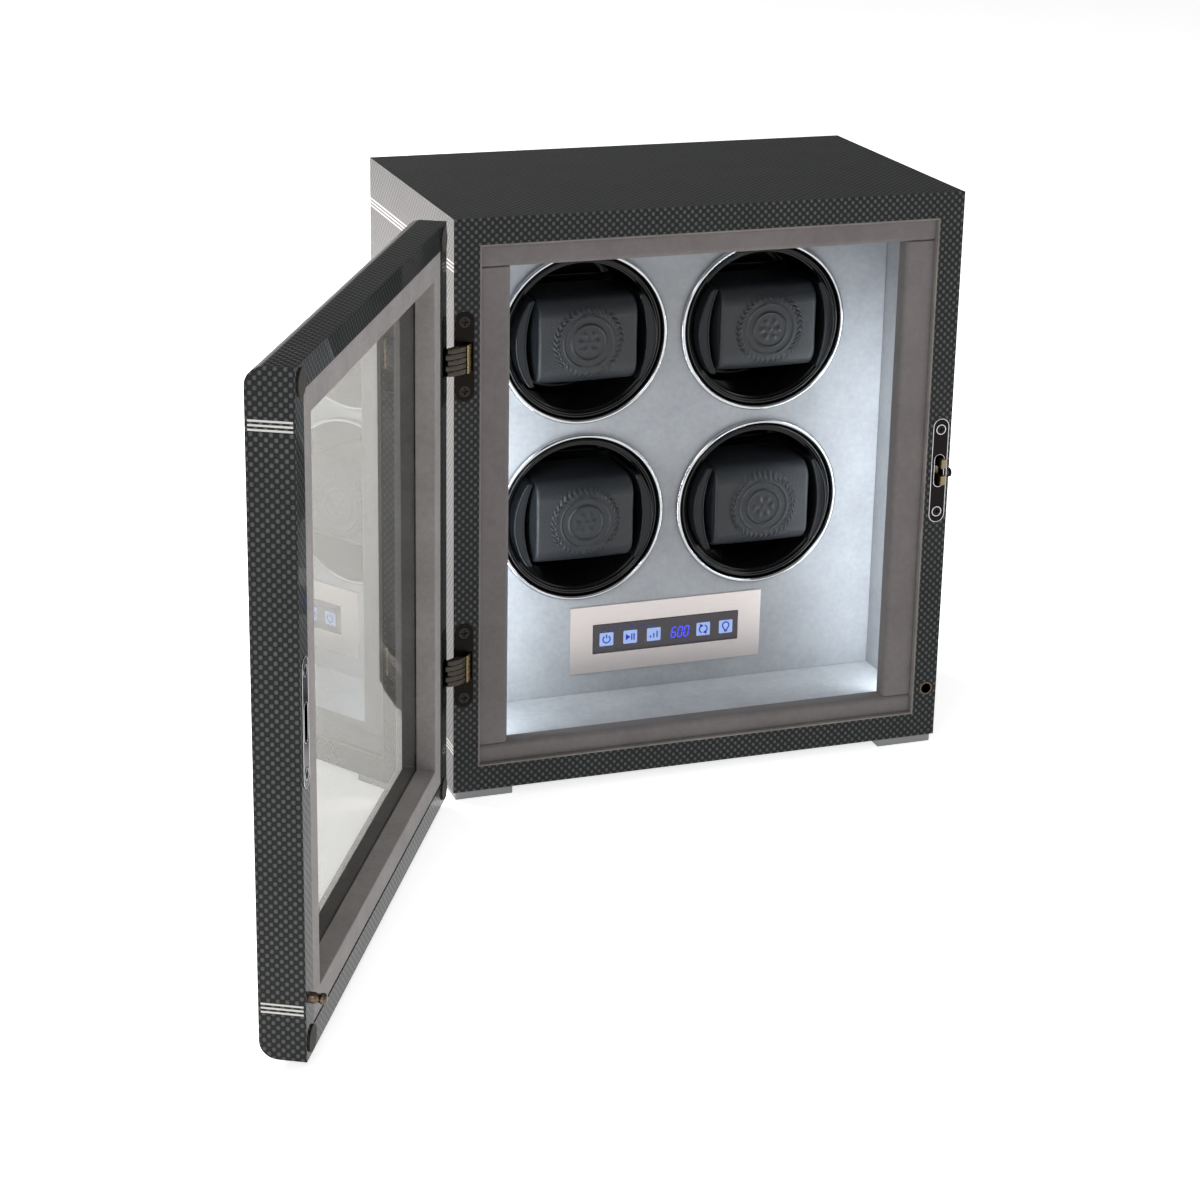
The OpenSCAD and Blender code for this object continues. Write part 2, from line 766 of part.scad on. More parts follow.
module hinge_cups()
    color([0.28, 0.25, 0.22]) on_cabinet()
        for (z = [hinge_z1, hinge_z2]) hinge_cup(z);

module hinge_screws()
    color([0.26, 0.24, 0.22]) on_cabinet()
        for (z = [hinge_z1, hinge_z2], s = [-1, 1])
            screw_y(hinge_x, -proud, z + s * hinge_screws_dz / 2);

// One leaf in the link's own frame: x away from the pivot, y towards the
// cabinet. Odd leaves reach further one way, even leaves the other
module leaf_outline(k) {
    a = k % 2 == 0 ? 0 : 1.4;
    b = 1.4 - a;
    difference() {
        polygon([
            [link_in, -link_half + b], [link_in + 1.6, -link_half + b],
            [link_out - 1, -link_half_out], [link_out, 0],
            [link_out - 1, link_half_out], [link_in + 1.6, link_half - a],
            [link_in, link_half - a]
        ]);
        translate([(link_in + link_out) / 2, 0]) circle(link_pin_r + snug);
    }
}

// The interleaved link of each hinge, held by its middle pin. It turns half
// as far as the door about the same axis
module hinge_links()
    color([0.36, 0.33, 0.29]) on_cabinet()
        for (z = [hinge_z1, hinge_z2])
            translate([pivot_x, pivot_y, z - leaf_stack / 2])
                rotate([0, 0, -door_open / 2]) {
                    for (k = [0 : leaf_n - 1])
                        translate([0, 0, k * leaf_t])
                            linear_extrude(leaf_t) leaf_outline(k);
                    translate([(link_in + link_out) / 2, 0, 0])
                        cylinder(r = link_pin_r, h = leaf_stack);
                }

// ---------- door, drawn shut ----------

// Outline of the door in y and z: the front edges are rounded
module door_outline() {
    y1 = -door_gap;
    y0 = y1 - door_t;
    r = door_edge_r;
    difference() {
        translate([y0, 0]) square([door_t, cab_h]);
        for (s = [0, 1]) translate([0, s * cab_h]) mirror([0, s])
            difference() {
                translate([y0 - 1, -1]) square([r + 1, r + 1]);
                translate([y0 + r, r]) circle(r, $fn = 64);
            }
    }
}

function rebate_d() = reveal_d + glass_t + 0.2;

// One mitred member of the door frame
module door_member(side)
    difference() {
        intersection() {
            prism_x(0, cab_w) door_outline();
            prism_y(-door_gap - door_t, -door_gap)
                member(side, 0, 0, cab_w, cab_h, door_frame_w);
        }
        block([border_w, -door_gap - rebate_d(), border_w],
              [cab_w - border_w, 0, cab_h - border_w]);
    }

module door_top_rail() color([0.13, 0.13, 0.14]) on_door() door_member(2);

module door_bottom_rail() color([0.13, 0.13, 0.14]) on_door() door_member(0);

module door_hinge_stile()
    color([0.13, 0.13, 0.14]) on_door() difference() {
        door_member(3);
        facing() for (z = [hinge_z1, hinge_z2]) hinge_mortise(z);
    }

module door_free_stile()
    color([0.13, 0.13, 0.14]) on_door() difference() {
        door_member(1);
        facing() {
            plate_pocket(lock_x, lock_z, strike_l, strike_w, strike_screws_dz);
            block([lock_x - slot_w / 2 - 0.4, -1, lock_z - slot_l / 2 - 0.2],
                  [lock_x + slot_w / 2 + 1.4, hook_out, lock_z + slot_l / 2 + 0.2]);
            bar_y(lock_x, -1, pin_root(), guide_z, guide_d / 2);
        }
    }

module door_glass() {
    y0 = -door_gap - rebate_d();
    color([0.75, 0.8, 0.78, 0.35]) on_door()
        block([border_w + fit, y0, border_w + fit],
              [cab_w - border_w - fit, y0 + glass_t, cab_h - border_w - fit]);
}

// Lined reveal that holds the glass: four mitred strips
module door_reveal() {
    m = door_frame_w - border_w;
    b = border_w + 0.1;
    y1 = -door_gap - 0.4;
    color([0.5, 0.46, 0.46]) on_door() for (side = [0 : 3])
        prism_y(-door_gap - reveal_d, y1)
            member(side, b, b, cab_w - b, cab_h - b, m - 0.1);
}

// Keeper on the door: the hook goes into its slot and catches behind it
module keeper_plate()
    color([0.3, 0.3, 0.31]) on_door() facing() difference() {
        let_in_plate(lock_x, lock_z, strike_l, strike_w, strike_screws_dz);
        translate([lock_x, 0, lock_z]) prism_y(-1, 3)
            slot_outline(slot_l, slot_w);
    }

module keeper_screws()
    color([0.7, 0.7, 0.7]) on_door() facing() for (s = [-1, 1])
        screw_y(lock_x, -proud, lock_z + s * strike_screws_dz / 2);

function pin_root() = 8;

// Guide pin: a plain shank in the door and a rounded nose
module guide_pin()
    color([0.7, 0.58, 0.36]) on_door() facing()
        turned_y(lock_x, 0, guide_z, 48)
            polygon([
                [0, -guide_l], [guide_d / 2 - 1.4, -guide_l],
                [guide_d / 2 - 0.4, -guide_l + 1.2], [guide_d / 2 - 0.02, -guide_l + 2.6],
                [guide_d / 2 - 0.02, pin_root()], [0, pin_root()]
            ]);

module door_bumpers()
    color([0.22, 0.18, 0.14]) on_door() facing()
        for (x = [bumper_in, cab_w - bumper_in], z = [bumper_in, cab_h - bumper_in])
            bar_y(x, -bumper_t, 0, z, bumper_d / 2);

module door_hinge_cups()
    color([0.28, 0.25, 0.22]) on_door() facing()
        for (z = [hinge_z1, hinge_z2]) hinge_cup(z);

module door_hinge_screws()
    color([0.26, 0.24, 0.22]) on_door() facing()
        for (z = [hinge_z1, hinge_z2], s = [-1, 1])
            screw_y(hinge_x, -proud, z + s * hinge_screws_dz / 2);

// ---------- nodes ----------

top_board();
bottom_board();
left_board();
right_board();
feet();
back_cover();
back_screws();
power_socket();
opening_lip();
frame_top_rail();
frame_bottom_rail();
frame_stiles();
led_strips();
side_liners();
floor_pad();
ceiling_pad();
winder_panel();
bezel_rings();
cup_housings();
gearmotors();
control_plate();
display_window();
control_board();
strike_plate();
strike_screws();
lock_case();
guide_bush();
hinge_cups();
hinge_screws();
hinge_links();
lock_button();
lock_catch();
door_top_rail();
door_bottom_rail();
door_hinge_stile();
door_free_stile();
door_glass();
door_reveal();
keeper_plate();
keeper_screws();
guide_pin();
door_bumpers();
door_hinge_cups();
door_hinge_screws();
at_cup(-1, 1) watch_cup();  // cup_top_left
at_cup(1, 1) watch_cup();  // cup_top_right
at_cup(-1, 0) watch_cup();  // cup_low_left
at_cup(1, 0) watch_cup();  // cup_low_right
at_cup(-1, 1) output_shaft();  // shaft_top_left
at_cup(1, 1) output_shaft();  // shaft_top_right
at_cup(-1, 0) output_shaft();  // shaft_low_left
at_cup(1, 0) output_shaft();  // shaft_low_right
at_cup(-1, 1) cushion_cradle();  // cradle_top_left
at_cup(1, 1) cushion_cradle();  // cradle_top_right
at_cup(-1, 0) cushion_cradle();  // cradle_low_left
at_cup(1, 0) cushion_cradle();  // cradle_low_right
at_cup(-1, 1) watch_cushion();  // cushion_top_left
at_cup(1, 1) watch_cushion();  // cushion_top_right
at_cup(-1, 0) watch_cushion();  // cushion_low_left
at_cup(1, 0) watch_cushion();  // cushion_low_right
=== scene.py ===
"""Watch winder box: lacquered cabinet, glazed door, four turning watch cups.

Shapes are worked out in millimetres in the cabinet's own frame, with x from
the left face, y back from the front face and z up from the underside, and the
door is drawn shut. in_cabinet and in_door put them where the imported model
holds them, in metres.
"""
import math

import bmesh
import bpy
import numpy as np
from mathutils import Matrix, Vector


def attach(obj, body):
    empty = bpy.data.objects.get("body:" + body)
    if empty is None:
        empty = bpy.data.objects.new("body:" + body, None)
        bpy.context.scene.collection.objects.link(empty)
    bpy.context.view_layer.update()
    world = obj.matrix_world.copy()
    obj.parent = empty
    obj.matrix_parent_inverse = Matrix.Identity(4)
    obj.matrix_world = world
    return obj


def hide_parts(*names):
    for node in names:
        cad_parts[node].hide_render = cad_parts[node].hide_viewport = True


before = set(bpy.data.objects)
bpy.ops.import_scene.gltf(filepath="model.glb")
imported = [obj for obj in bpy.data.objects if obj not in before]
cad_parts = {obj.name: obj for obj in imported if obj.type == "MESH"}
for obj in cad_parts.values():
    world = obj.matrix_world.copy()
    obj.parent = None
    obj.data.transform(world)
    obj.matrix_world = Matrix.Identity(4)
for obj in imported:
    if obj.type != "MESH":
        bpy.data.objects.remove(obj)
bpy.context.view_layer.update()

MM = 0.001
CAB_W, CAB_D, CAB_H, FOOT_H = 290.0, 172.0, 320.0, 5.0
PANEL_Y = 61.0
PIVOT_X, PIVOT_Y = -2.5, -0.26
DOOR_TURN = math.radians(-118.3)
DOOR_GAP = 1.2
CUPS = {
    "top_left": (91.5, 236.1), "top_right": (198.5, 236.1),
    "low_left": (91.5, 131.7), "low_right": (198.5, 131.7),
}
LOCK_X, LOCK_Z, GUIDE_Z = 283.6, 161.0, 29.1
HINGE_Z, LINK_PIN_R = (74.5, 247.0), 6.75


# ---------- places ----------

def in_cabinet(points):
    """Cabinet millimetres to the model's metres."""
    return (np.asarray(points, float) - (CAB_W / 2, CAB_D / 2, -FOOT_H)) * MM


def in_door(points):
    """Shut-door millimetres, turned about the hinge axis to the open door."""
    p = np.array(points, float)
    x, y = p[:, 0] - PIVOT_X, p[:, 1] - PIVOT_Y
    c, s = math.cos(DOOR_TURN), math.sin(DOOR_TURN)
    p[:, 0], p[:, 1] = PIVOT_X + c * x - s * y, PIVOT_Y + s * x + c * y
    return in_cabinet(p)


def facing(points):
    """A fitting drawn on the cabinet's front, mirrored on to the shut door."""
    p = np.array(points, float)
    p[:, 1] = -DOOR_GAP - p[:, 1]
    return in_door(p)


pivot = Vector(in_cabinet([[PIVOT_X, PIVOT_Y, 0]])[0])
DOOR_SWING = (Matrix.Translation(pivot) @ Matrix.Rotation(DOOR_TURN, 4, "Z")
              @ Matrix.Translation(-pivot))


# ---------- surfaces ----------

def grid_faces(rows, cols, wrap_rows=False, wrap_cols=False):
    """Quads between the neighbours of a rows by cols grid of points."""
    i, j = np.meshgrid(
        np.arange(rows if wrap_rows else rows - 1),
        np.arange(cols if wrap_cols else cols - 1), indexing="ij")
    i2, j2 = (i + 1) % rows, (j + 1) % cols
    return np.stack(
        [i * cols + j, i * cols + j2, i2 * cols + j2, i2 * cols + j], -1
    ).reshape(-1, 4)


def eased(points, radius, steps=5, closed=True):
    """An outline with each corner replaced by a quadratic curve that starts
    and ends at most radius away from it."""
    p = np.array(points, float)
    before, after = np.roll(p, 1, 0), np.roll(p, -1, 0)
    reach = np.broadcast_to(np.asarray(radius, float), len(p))

    def end(other):
        step = other - p
        length = np.linalg.norm(step, axis=1)
        return p + step * (np.minimum(reach, length / 2.05) / length)[:, None]

    a, b = end(before), end(after)
    t = np.linspace(0, 1, steps)[None, :, None]
    curve = ((1 - t) ** 2 * a[:, None] + 2 * t * (1 - t) * p[:, None]
             + t ** 2 * b[:, None])
    if not closed:
        return np.concatenate([p[:1], curve[1:-1].reshape(-1, 2), p[-1:]])
    return curve.reshape(-1, 2)


def arc(cx, cz, r, a0, a1, n=14):
    """Points on a circle about (cx, cz), from one angle in degrees to
    another."""
    t = np.radians(np.linspace(a0, a1, n))
    return np.stack([cx + r * np.cos(t), cz + r * np.sin(t)], 1)


def turned(profile, centre, turns=96, closed=False):
    """Radius and depth pairs carried round the y axis through centre:
    x = r cos t, y = depth, z = r sin t."""
    r, depth = np.asarray(profile, float).T
    t = np.linspace(0, 2 * math.pi, turns, endpoint=False)
    x = centre[0] + r[:, None] * np.cos(t)
    z = centre[2] + r[:, None] * np.sin(t)
    y = centre[1] + np.broadcast_to(depth[:, None], x.shape)
    return np.stack([x, y, z], -1).reshape(-1, 3), grid_faces(
        len(r), turns, closed, True)


def carried(profile, path):
    """A closed profile of (out, up) pairs carried round a closed path in the
    x and z plane: out runs across the path, up towards the front (-y)."""
    path = np.asarray(path, float)
    along = np.roll(path, -1, 0) - np.roll(path, 1, 0)
    along /= np.linalg.norm(along, axis=1)[:, None]
    out = np.stack([along[:, 1], -along[:, 0]], 1)
    o, up = np.asarray(profile, float).T
    xz = path[:, None] + out[:, None] * o[None, :, None]
    y = np.broadcast_to(-up, xz.shape[:2])
    points = np.stack([xz[..., 0], y, xz[..., 1]], -1)
    return points.reshape(-1, 3), grid_faces(len(path), len(o), True, True)


def slab(outline, y0, y1, edge=0.15):
    """An x and z outline carried from y0 to y1, with its front edge drawn in
    over a small bevel. Both ends are closed by one face each."""
    p = np.asarray(outline, float)
    n = len(p)
    inward = p.mean(0) - p
    inset = p + inward / np.linalg.norm(inward, axis=1)[:, None] * edge
    rings = [(inset, y0), (p, y0 + edge), (p, y1)]
    points = np.concatenate(
        [np.stack([q[:, 0], np.full(n, y), q[:, 1]], -1) for q, y in rings])
    faces = [f.tolist() for f in grid_faces(3, n, False, True)]
    return points, faces + [list(range(n)), list(range(2 * n, 3 * n))[::-1]]


def joined(*shapes):
    """Several point and face sets as one."""
    points, faces, start = [], [], 0
    for p, f in shapes:
        points.append(p)
        faces += [[int(i) + start for i in face] for face in f]
        start += len(p)
    return np.concatenate(points), faces


# ---------- pieces ----------

def finish_mesh(obj, material, body, sharp=35, cover=(), slot=None):
    """Smooth faces with sharp edges above an angle, a material and a body."""
    me = obj.data
    if "custom_normal" in me.attributes:
        me.attributes.remove(me.attributes["custom_normal"])
    me.materials.clear()
    me.materials.append(material)
    me.polygons.foreach_set("use_smooth", np.ones(len(me.polygons), bool))
    me.set_sharp_from_angle(angle=math.radians(sharp))
    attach(obj, body)
    if cover:
        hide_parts(*cover)
    return obj


def linked(name, mesh):
    """A new object with this mesh, at the origin of the scene."""
    obj = bpy.data.objects.new(name, mesh)
    bpy.context.scene.collection.objects.link(obj)
    return obj


def as_object(name, bm):
    """A bmesh made into an object, and freed."""
    me = bpy.data.meshes.new(name)
    bm.to_mesh(me)
    bm.free()
    return linked(name, me)


def even_faces(obj):
    """Lets each large flat face set the normals round it, so that a rounded
    edge doesn't bend the reflections on the faces beside it."""
    even = obj.modifiers.new("even_faces", "WEIGHTED_NORMAL")
    even.mode, even.weight, even.keep_sharp = "FACE_AREA", 100, True
    return obj


def piece(name, shape, material, body="cabinet", place=in_cabinet, **how):
    """A new object from points and faces, with doubles merged and its faces
    turned outwards."""
    points, faces = shape
    me = bpy.data.meshes.new(name)
    me.from_pydata(place(points).tolist(), [], [list(f) for f in faces])
    bm = bmesh.new()
    bm.from_mesh(me)
    bmesh.ops.remove_doubles(bm, verts=bm.verts, dist=2e-6)
    bmesh.ops.dissolve_degenerate(bm, edges=bm.edges, dist=1e-7)
    bmesh.ops.recalc_face_normals(bm, faces=bm.faces)
    bm.to_mesh(me)
    bm.free()
    return finish_mesh(linked(name, me), material, body, **how)


def make_flats_whole(bm):
    """Joins the triangles of each flat area into one face."""
    bmesh.ops.dissolve_limit(bm, angle_limit=math.radians(0.4),
                             verts=bm.verts, edges=bm.edges)


def merged_copy(nodes, undo=None, whole=True):
    """CAD nodes' meshes in one bmesh, welded, with flat areas made whole, or
    left in triangles where many holes cross them."""
    bm = bmesh.new()
    for node in nodes:
        bm.from_mesh(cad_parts[node].data)
    if undo is not None:
        bm.transform(undo)
    bmesh.ops.remove_doubles(bm, verts=bm.verts, dist=4e-6)
    if whole:
        make_flats_whole(bm)
    return bm


def ease_edges(bm, radius, segments=2, shortest=0):
    """Rounds every edge that turns by more than 30 degrees and is not
    shorter than a length in mm."""
    edges = [e for e in bm.edges if len(e.link_faces) == 2
             and e.calc_face_angle(0) > math.radians(30)
             and e.calc_length() >= shortest * MM]
    bmesh.ops.bevel(bm, geom=edges, offset=radius * MM, segments=segments,
                    profile=0.5, affect="EDGES", clamp_overlap=True)


def softened(name, nodes, material, body="cabinet", radius=0.3, segments=2,
             shortest=0, whole=True, **how):
    """A copy of CAD nodes with its edges rounded."""
    bm = merged_copy(nodes, whole=whole)
    ease_edges(bm, radius, segments, shortest=shortest)
    bmesh.ops.recalc_face_normals(bm, faces=bm.faces)
    return even_faces(finish_mesh(as_object(name, bm), material, body,
                                  cover=nodes, **how))


def dress(node, material):
    """A CAD node that keeps its own mesh takes a material."""
    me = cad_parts[node].data
    me.materials.clear()
    me.materials.append(material)


# ---------- shader maths ----------

class Signal:
    """A number socket that adds Math nodes as it is worked with."""

    def __init__(self, finish, socket):
        self.finish, self.socket = finish, socket

    def math(self, operation, *others, swap=False):
        terms = [self, *others]
        if swap:
            terms.reverse()
        node = self.finish.node("ShaderNodeMath", dict(operation=operation),
                                dict(enumerate(terms)))
        return Signal(self.finish, node.outputs[0])

    def __add__(self, o): return self.math("ADD", o)
    def __radd__(self, o): return self.math("ADD", o)
    def __sub__(self, o): return self.math("SUBTRACT", o)
    def __rsub__(self, o): return self.math("SUBTRACT", o, swap=True)
    def __mul__(self, o): return self.math("MULTIPLY", o)
    def __rmul__(self, o): return self.math("MULTIPLY", o)
    def __truediv__(self, o): return self.math("DIVIDE", o)
    def __pow__(self, o): return self.math("POWER", o)
    def __lt__(self, o): return self.math("LESS_THAN", o)
    def __gt__(self, o): return self.math("GREATER_THAN", o)
    def __abs__(self): return self.math("ABSOLUTE")
    def floor(self): return self.math("FLOOR")
    def part(self): return self.math("FRACT")
    def top(self, o): return self.math("MAXIMUM", o)
    def low(self, o): return self.math("MINIMUM", o)


class Nodes:
    """A node tree whose nodes all come from one method."""

    def __init__(self, tree):
        self.tree = tree

    def plug(self, socket, value):
        """Puts a value, a colour or a link on a socket."""
        if isinstance(value, Signal):
            value = value.socket
        if isinstance(value, bpy.types.NodeSocket):
            self.tree.links.new(value, socket)
        else:
            socket.default_value = value

    def node(self, kind, settings=None, inputs=None):
        """Any node: its settings first, then its sockets' values or links."""
        node = self.tree.nodes.new(kind)
        for key, value in (settings or {}).items():
            if key == "stops":
                ramp = node.color_ramp
                while len(ramp.elements) < len(value):
                    ramp.elements.new(0.5)
                for element, (at, colour) in zip(ramp.elements, value):
                    element.position, element.color = at, (*colour, 1)
            else:
                setattr(node, key, value)
        for key, value in (inputs or {}).items():
            self.plug(node.inputs[key], value)
        return node

    def axes(self, vector):
        """The three parts of a vector as numbers."""
        node = self.node("ShaderNodeSeparateXYZ", None, {0: vector})
        return [Signal(self, s) for s in node.outputs]


class Finish(Nodes):
    """One material: constants go on the shader's own sockets."""

    def __init__(self, name, colour, roughness, **constants):
        self.material = bpy.data.materials.new(name)
        self.material.use_nodes = True
        super().__init__(self.material.node_tree)
        self.shader = self.tree.nodes["Principled BSDF"]
        self.set("Base Color", (*colour, 1))
        self.set("Roughness", roughness)
        for socket, value in constants.items():
            self.set(socket.replace("_", " "), value)
        self._object = None

    def set(self, socket, value):
        """Puts a value, a colour or a link on one of the shader's sockets."""
        self.plug(self.shader.inputs[socket], value)

    def place(self, scale=(1, 1, 1)):
        """Object coordinates, scaled."""
        if self._object is None:
            self._object = self.node("ShaderNodeTexCoord").outputs["Object"]
        return self.node("ShaderNodeMapping", dict(vector_type="POINT"),
                         {"Vector": self._object, "Scale": scale}).outputs[0]

    def noise(self, scale, detail=2.0, roughness=0.5, at=None):
        """Soft noise from 0 to 1, with a scale in blotches per metre."""
        node = self.node("ShaderNodeTexNoise", None, {
            "Vector": at or self.place(), "Scale": scale, "Detail": detail,
            "Roughness": roughness})
        return Signal(self, node.outputs["Fac"])

    def cells(self, scale):
        """Distance from the middle of smooth rounded cells."""
        node = self.node("ShaderNodeTexVoronoi", dict(feature="SMOOTH_F1"),
                         {"Vector": self.place(), "Scale": scale})
        return Signal(self, node.outputs["Distance"])

    def blend(self, factor, first, second):
        """Colour between two colours or sockets."""
        ends = [c if isinstance(c, bpy.types.NodeSocket) else (*c, 1)
                for c in (first, second)]
        node = self.node("ShaderNodeMix", dict(data_type="RGBA"),
                         {0: factor, 6: ends[0], 7: ends[1]})
        return node.outputs[2]

    def bump(self, height, strength, distance):
        """Small relief of a height in metres."""
        node = self.node("ShaderNodeBump", None, {
            "Height": height, "Strength": strength, "Distance": distance})
        self.set("Normal", node.outputs[0])


# ---------- materials ----------

CELL, INLAY_AT, INLAY_PITCH, INLAY_BAND = 0.0022, 0.0253, 0.002, 0.003
BOARD_FRONT, DOOR_BACK, DOOR_FRONT = -0.086, -0.0884, -0.108


def woven_lacquer():
    """Checked weave beneath clear lacquer: two tow directions alternate in 2.2 mm
    cells. The checker is the weave's own pattern, but the tows' tone is painted
    sheen and shade: the level tows are painted light in short dashes over their
    crowns, and the crossing tows are painted dark. Three light inlay lines cross
    the side faces near the top and the bottom."""
    f = Finish("woven_lacquer", (0.02, 0.021, 0.024), 0.5, Coat_Weight=0.42,
               Coat_Roughness=0.03, Coat_IOR=1.36, Specular_IOR_Level=0.06)
    uv = f.node("ShaderNodeUVMap", dict(uv_map="weave"))
    run, rise, _ = f.axes(uv.outputs[0])
    u, v = run / CELL, rise / CELL
    odd = ((u.floor() + v.floor()) / 2).part() * 2
    crown_u = ((u.part() - 0.5) * math.pi).math("COSINE")
    crown_v = ((v.part() - 0.5) * math.pi).math("COSINE")
    # painted sheen on the crowns of the level tows and painted shade on the
    # crossing tows, both in the base colour
    painted_tow_sheen = odd * (crown_u ** 0.8) * (crown_v ** 0.45)
    painted_tow_shade = (1 - odd) * (crown_v ** 0.5) * (0.03 + crown_u * 0.06)
    fibres = f.noise(1.0, 1.0, at=f.place((3600, 3600, 700)))
    patchy = f.noise(34.0, 2.0)
    tone = (painted_tow_sheen + painted_tow_shade) * (0.6 + fibres * 0.65) * (0.74 + patchy * 0.52)
    weave = f.blend(tone.low(1.0), (0.0028, 0.003, 0.0032),
                    (0.092, 0.101, 0.1))
    zone = Signal(f, f.node("ShaderNodeAttribute",
                            dict(attribute_name="inlay_zone")).outputs["Fac"])
    z = f.axes(f.place())[2] - FOOT_H * MM
    from_end = z.low(CAB_H * MM - z)
    line = abs(((from_end - INLAY_AT) / INLAY_PITCH + 0.5).part() - 0.5) < 0.23
    near = abs(from_end - INLAY_AT) < INLAY_BAND
    on_board = run > BOARD_FRONT
    on_door = (run < DOOR_BACK) * (run > DOOR_FRONT)
    f.set("Base Color", f.blend(zone * line * near * (on_board + on_door),
                                weave, (0.6, 0.59, 0.57)))
    f.set("Roughness", 0.36 + patchy * 0.12)
    f.bump(crown_u * crown_v, 0.12, 0.00008)
    return f.material


def suede(name, dark, light, nap=0.35, mottle=1.5):
    """Microsuede: fine short nap, small brushed marks and wide soft patches
    where it was stroked the other way."""
    f = Finish(name, light, 0.92, Sheen_Weight=0.18, Sheen_Roughness=0.45,
               Specular_IOR_Level=0.2)
    patches, brushed = f.noise(38.0, 3.0, 0.6), f.noise(330.0, 2.0, 0.6)
    grain = f.noise(2600.0, 2.0, 0.7)
    tone = (0.5 + (patches - 0.5) * mottle + (brushed - 0.5) * mottle * 0.65
            + (grain - 0.5) * nap * 2)
    f.set("Base Color", f.blend(tone.top(0.0).low(1.0), dark, light))
    f.set("Roughness", 0.86 + grain * 0.12)
    f.bump(grain + brushed * 0.6, 0.35, 0.00012)
    return f.material


def bright_metal(name, colour, roughness=0.08, wear=0.05):
    """Polished plating with faint wiping marks in its gloss."""
    f = Finish(name, colour, roughness, Metallic=1.0)
    marks = f.noise(1.0, 3.0, 0.6, at=f.place((260, 260, 1400)))
    f.set("Roughness", roughness + marks * wear)
    dim = tuple(c * 0.86 for c in colour)
    f.set("Base Color", f.blend(f.noise(60.0) * 0.8, colour, dim))
    return f.material


def satin_metal(name, colour, roughness=0.34, grain=0.16):
    """Brushed or satin metal: long fine strokes in gloss and colour."""
    f = Finish(name, colour, roughness, Metallic=1.0)
    strokes = f.noise(1.0, 4.0, 0.65, at=f.place((60, 4200, 4200)))
    dim = tuple(c * 0.8 for c in colour)
    f.set("Base Color", f.blend(strokes, dim, colour))
    f.set("Roughness", roughness + strokes * grain)
    f.bump(strokes, 0.12, 0.00003)
    return f.material


def moulded(name, colour, roughness, coat=0.0, gloss=0.5):
    """Moulded plastic with a faint flow pattern in its gloss."""
    f = Finish(name, colour, roughness, Coat_Weight=coat,
               Coat_Roughness=0.04, Specular_IOR_Level=gloss)
    flow = f.noise(90.0, 3.0, 0.6)
    lift = tuple(c * 1.5 + 0.002 for c in colour)
    f.set("Base Color", f.blend(flow, colour, lift))
    f.set("Roughness", roughness + flow * 0.05)
    return f.material


def slate_leather():
    """Smooth leather: fine pebbled grain, pores and slight rubbing."""
    f = Finish("slate_leather", (0.025, 0.028, 0.032), 0.4,
               Specular_IOR_Level=0.48)
    pebbles = f.cells(1150.0)
    pores = f.noise(3200.0, 2.0)
    rubbed = f.noise(55.0, 3.0, 0.6)
    tone = rubbed * 0.7 + pebbles * 0.5
    f.set("Base Color", f.blend(tone, (0.007, 0.0082, 0.0098),
                                (0.021, 0.0245, 0.0285)))
    f.set("Roughness", 0.34 + pores * 0.16)
    f.bump(pebbles * 0.9 + pores * 0.4 + rubbed * 0.5, 0.8, 0.00022)
    return f.material


def glow(name, colour, strength):
    """Lit face whose light falls off a little in patches."""
    f = Finish(name, tuple(c * 0.5 for c in colour), 0.35,
               Emission_Strength=strength)
    uneven = f.noise(400.0, 1.0)
    dim = tuple(c * 0.82 for c in colour)
    f.set("Emission Color", f.blend(uneven, dim, colour))
    return f.material


def pane_glass():
    """Glass with a green-grey body, darkened to a smoked tint that is painted
    shade for the dimmer light seen through the pane.
    """
    f = Finish("pane_glass", (0.345, 0.353, 0.338), 0.0,
               Transmission_Weight=1.0, IOR=1.5)
    smear = f.noise(14.0, 3.0, 0.6)
    f.set("Roughness", smear * 0.012)
    return f.material


def plain_board(name, dark, light):
    """Fibre board: mottled and matt."""
    f = Finish(name, light, 0.75)
    f.set("Base Color", f.blend(f.noise(700.0, 4.0, 0.7), dark, light))
    f.bump(f.noise(1500.0, 2.0), 0.3, 0.0001)
    return f.material


LACQUER = woven_lacquer()
TAUPE = suede("taupe_suede", (0.125, 0.112, 0.111), (0.215, 0.198, 0.194),
              0.5, 0.7)
LIP = suede("lip_suede", (0.16, 0.145, 0.135), (0.26, 0.24, 0.225))
REVEAL = suede("reveal_suede", (0.22, 0.206, 0.2), (0.4, 0.379, 0.371),
               0.5, 0.9)
LINING = suede("grey_suede", (0.25, 0.26, 0.276), (0.43, 0.445, 0.465),
               0.55, 0.7)
# a paler copy of the grey lining suede: painted light for the brighter light that
# falls on the floor pad
LIT_FLOOR_LINING = suede("floor_suede_painted_paler", (0.33, 0.342, 0.36), (0.55, 0.568, 0.592),
                     0.5, 0.9)
CHROME = bright_metal("polished_chrome", (0.6, 0.61, 0.63))
BLACK_NICKEL = bright_metal("black_nickel", (0.014, 0.012, 0.0125), 0.1)
BRASS = bright_metal("stamped_brass", (0.72, 0.53, 0.27), 0.22, 0.12)
BRONZE = satin_metal("dark_bronze", (0.013, 0.011, 0.0095), 0.28)
LEAF_BRONZE = satin_metal("worn_bronze", (0.065, 0.057, 0.046), 0.24)
PIN = satin_metal("aged_bronze", (0.16, 0.12, 0.085), 0.25)
HOOK = satin_metal("hook_brass", (0.26, 0.21, 0.135), 0.22)
STEEL = satin_metal("zinc_steel", (0.6, 0.6, 0.61), 0.3)
DARK_STEEL = satin_metal("blackened_steel", (0.03, 0.028, 0.026), 0.28)
PLATE = satin_metal("warm_satin_plate", (0.8, 0.74, 0.72), 0.38, 0.1)
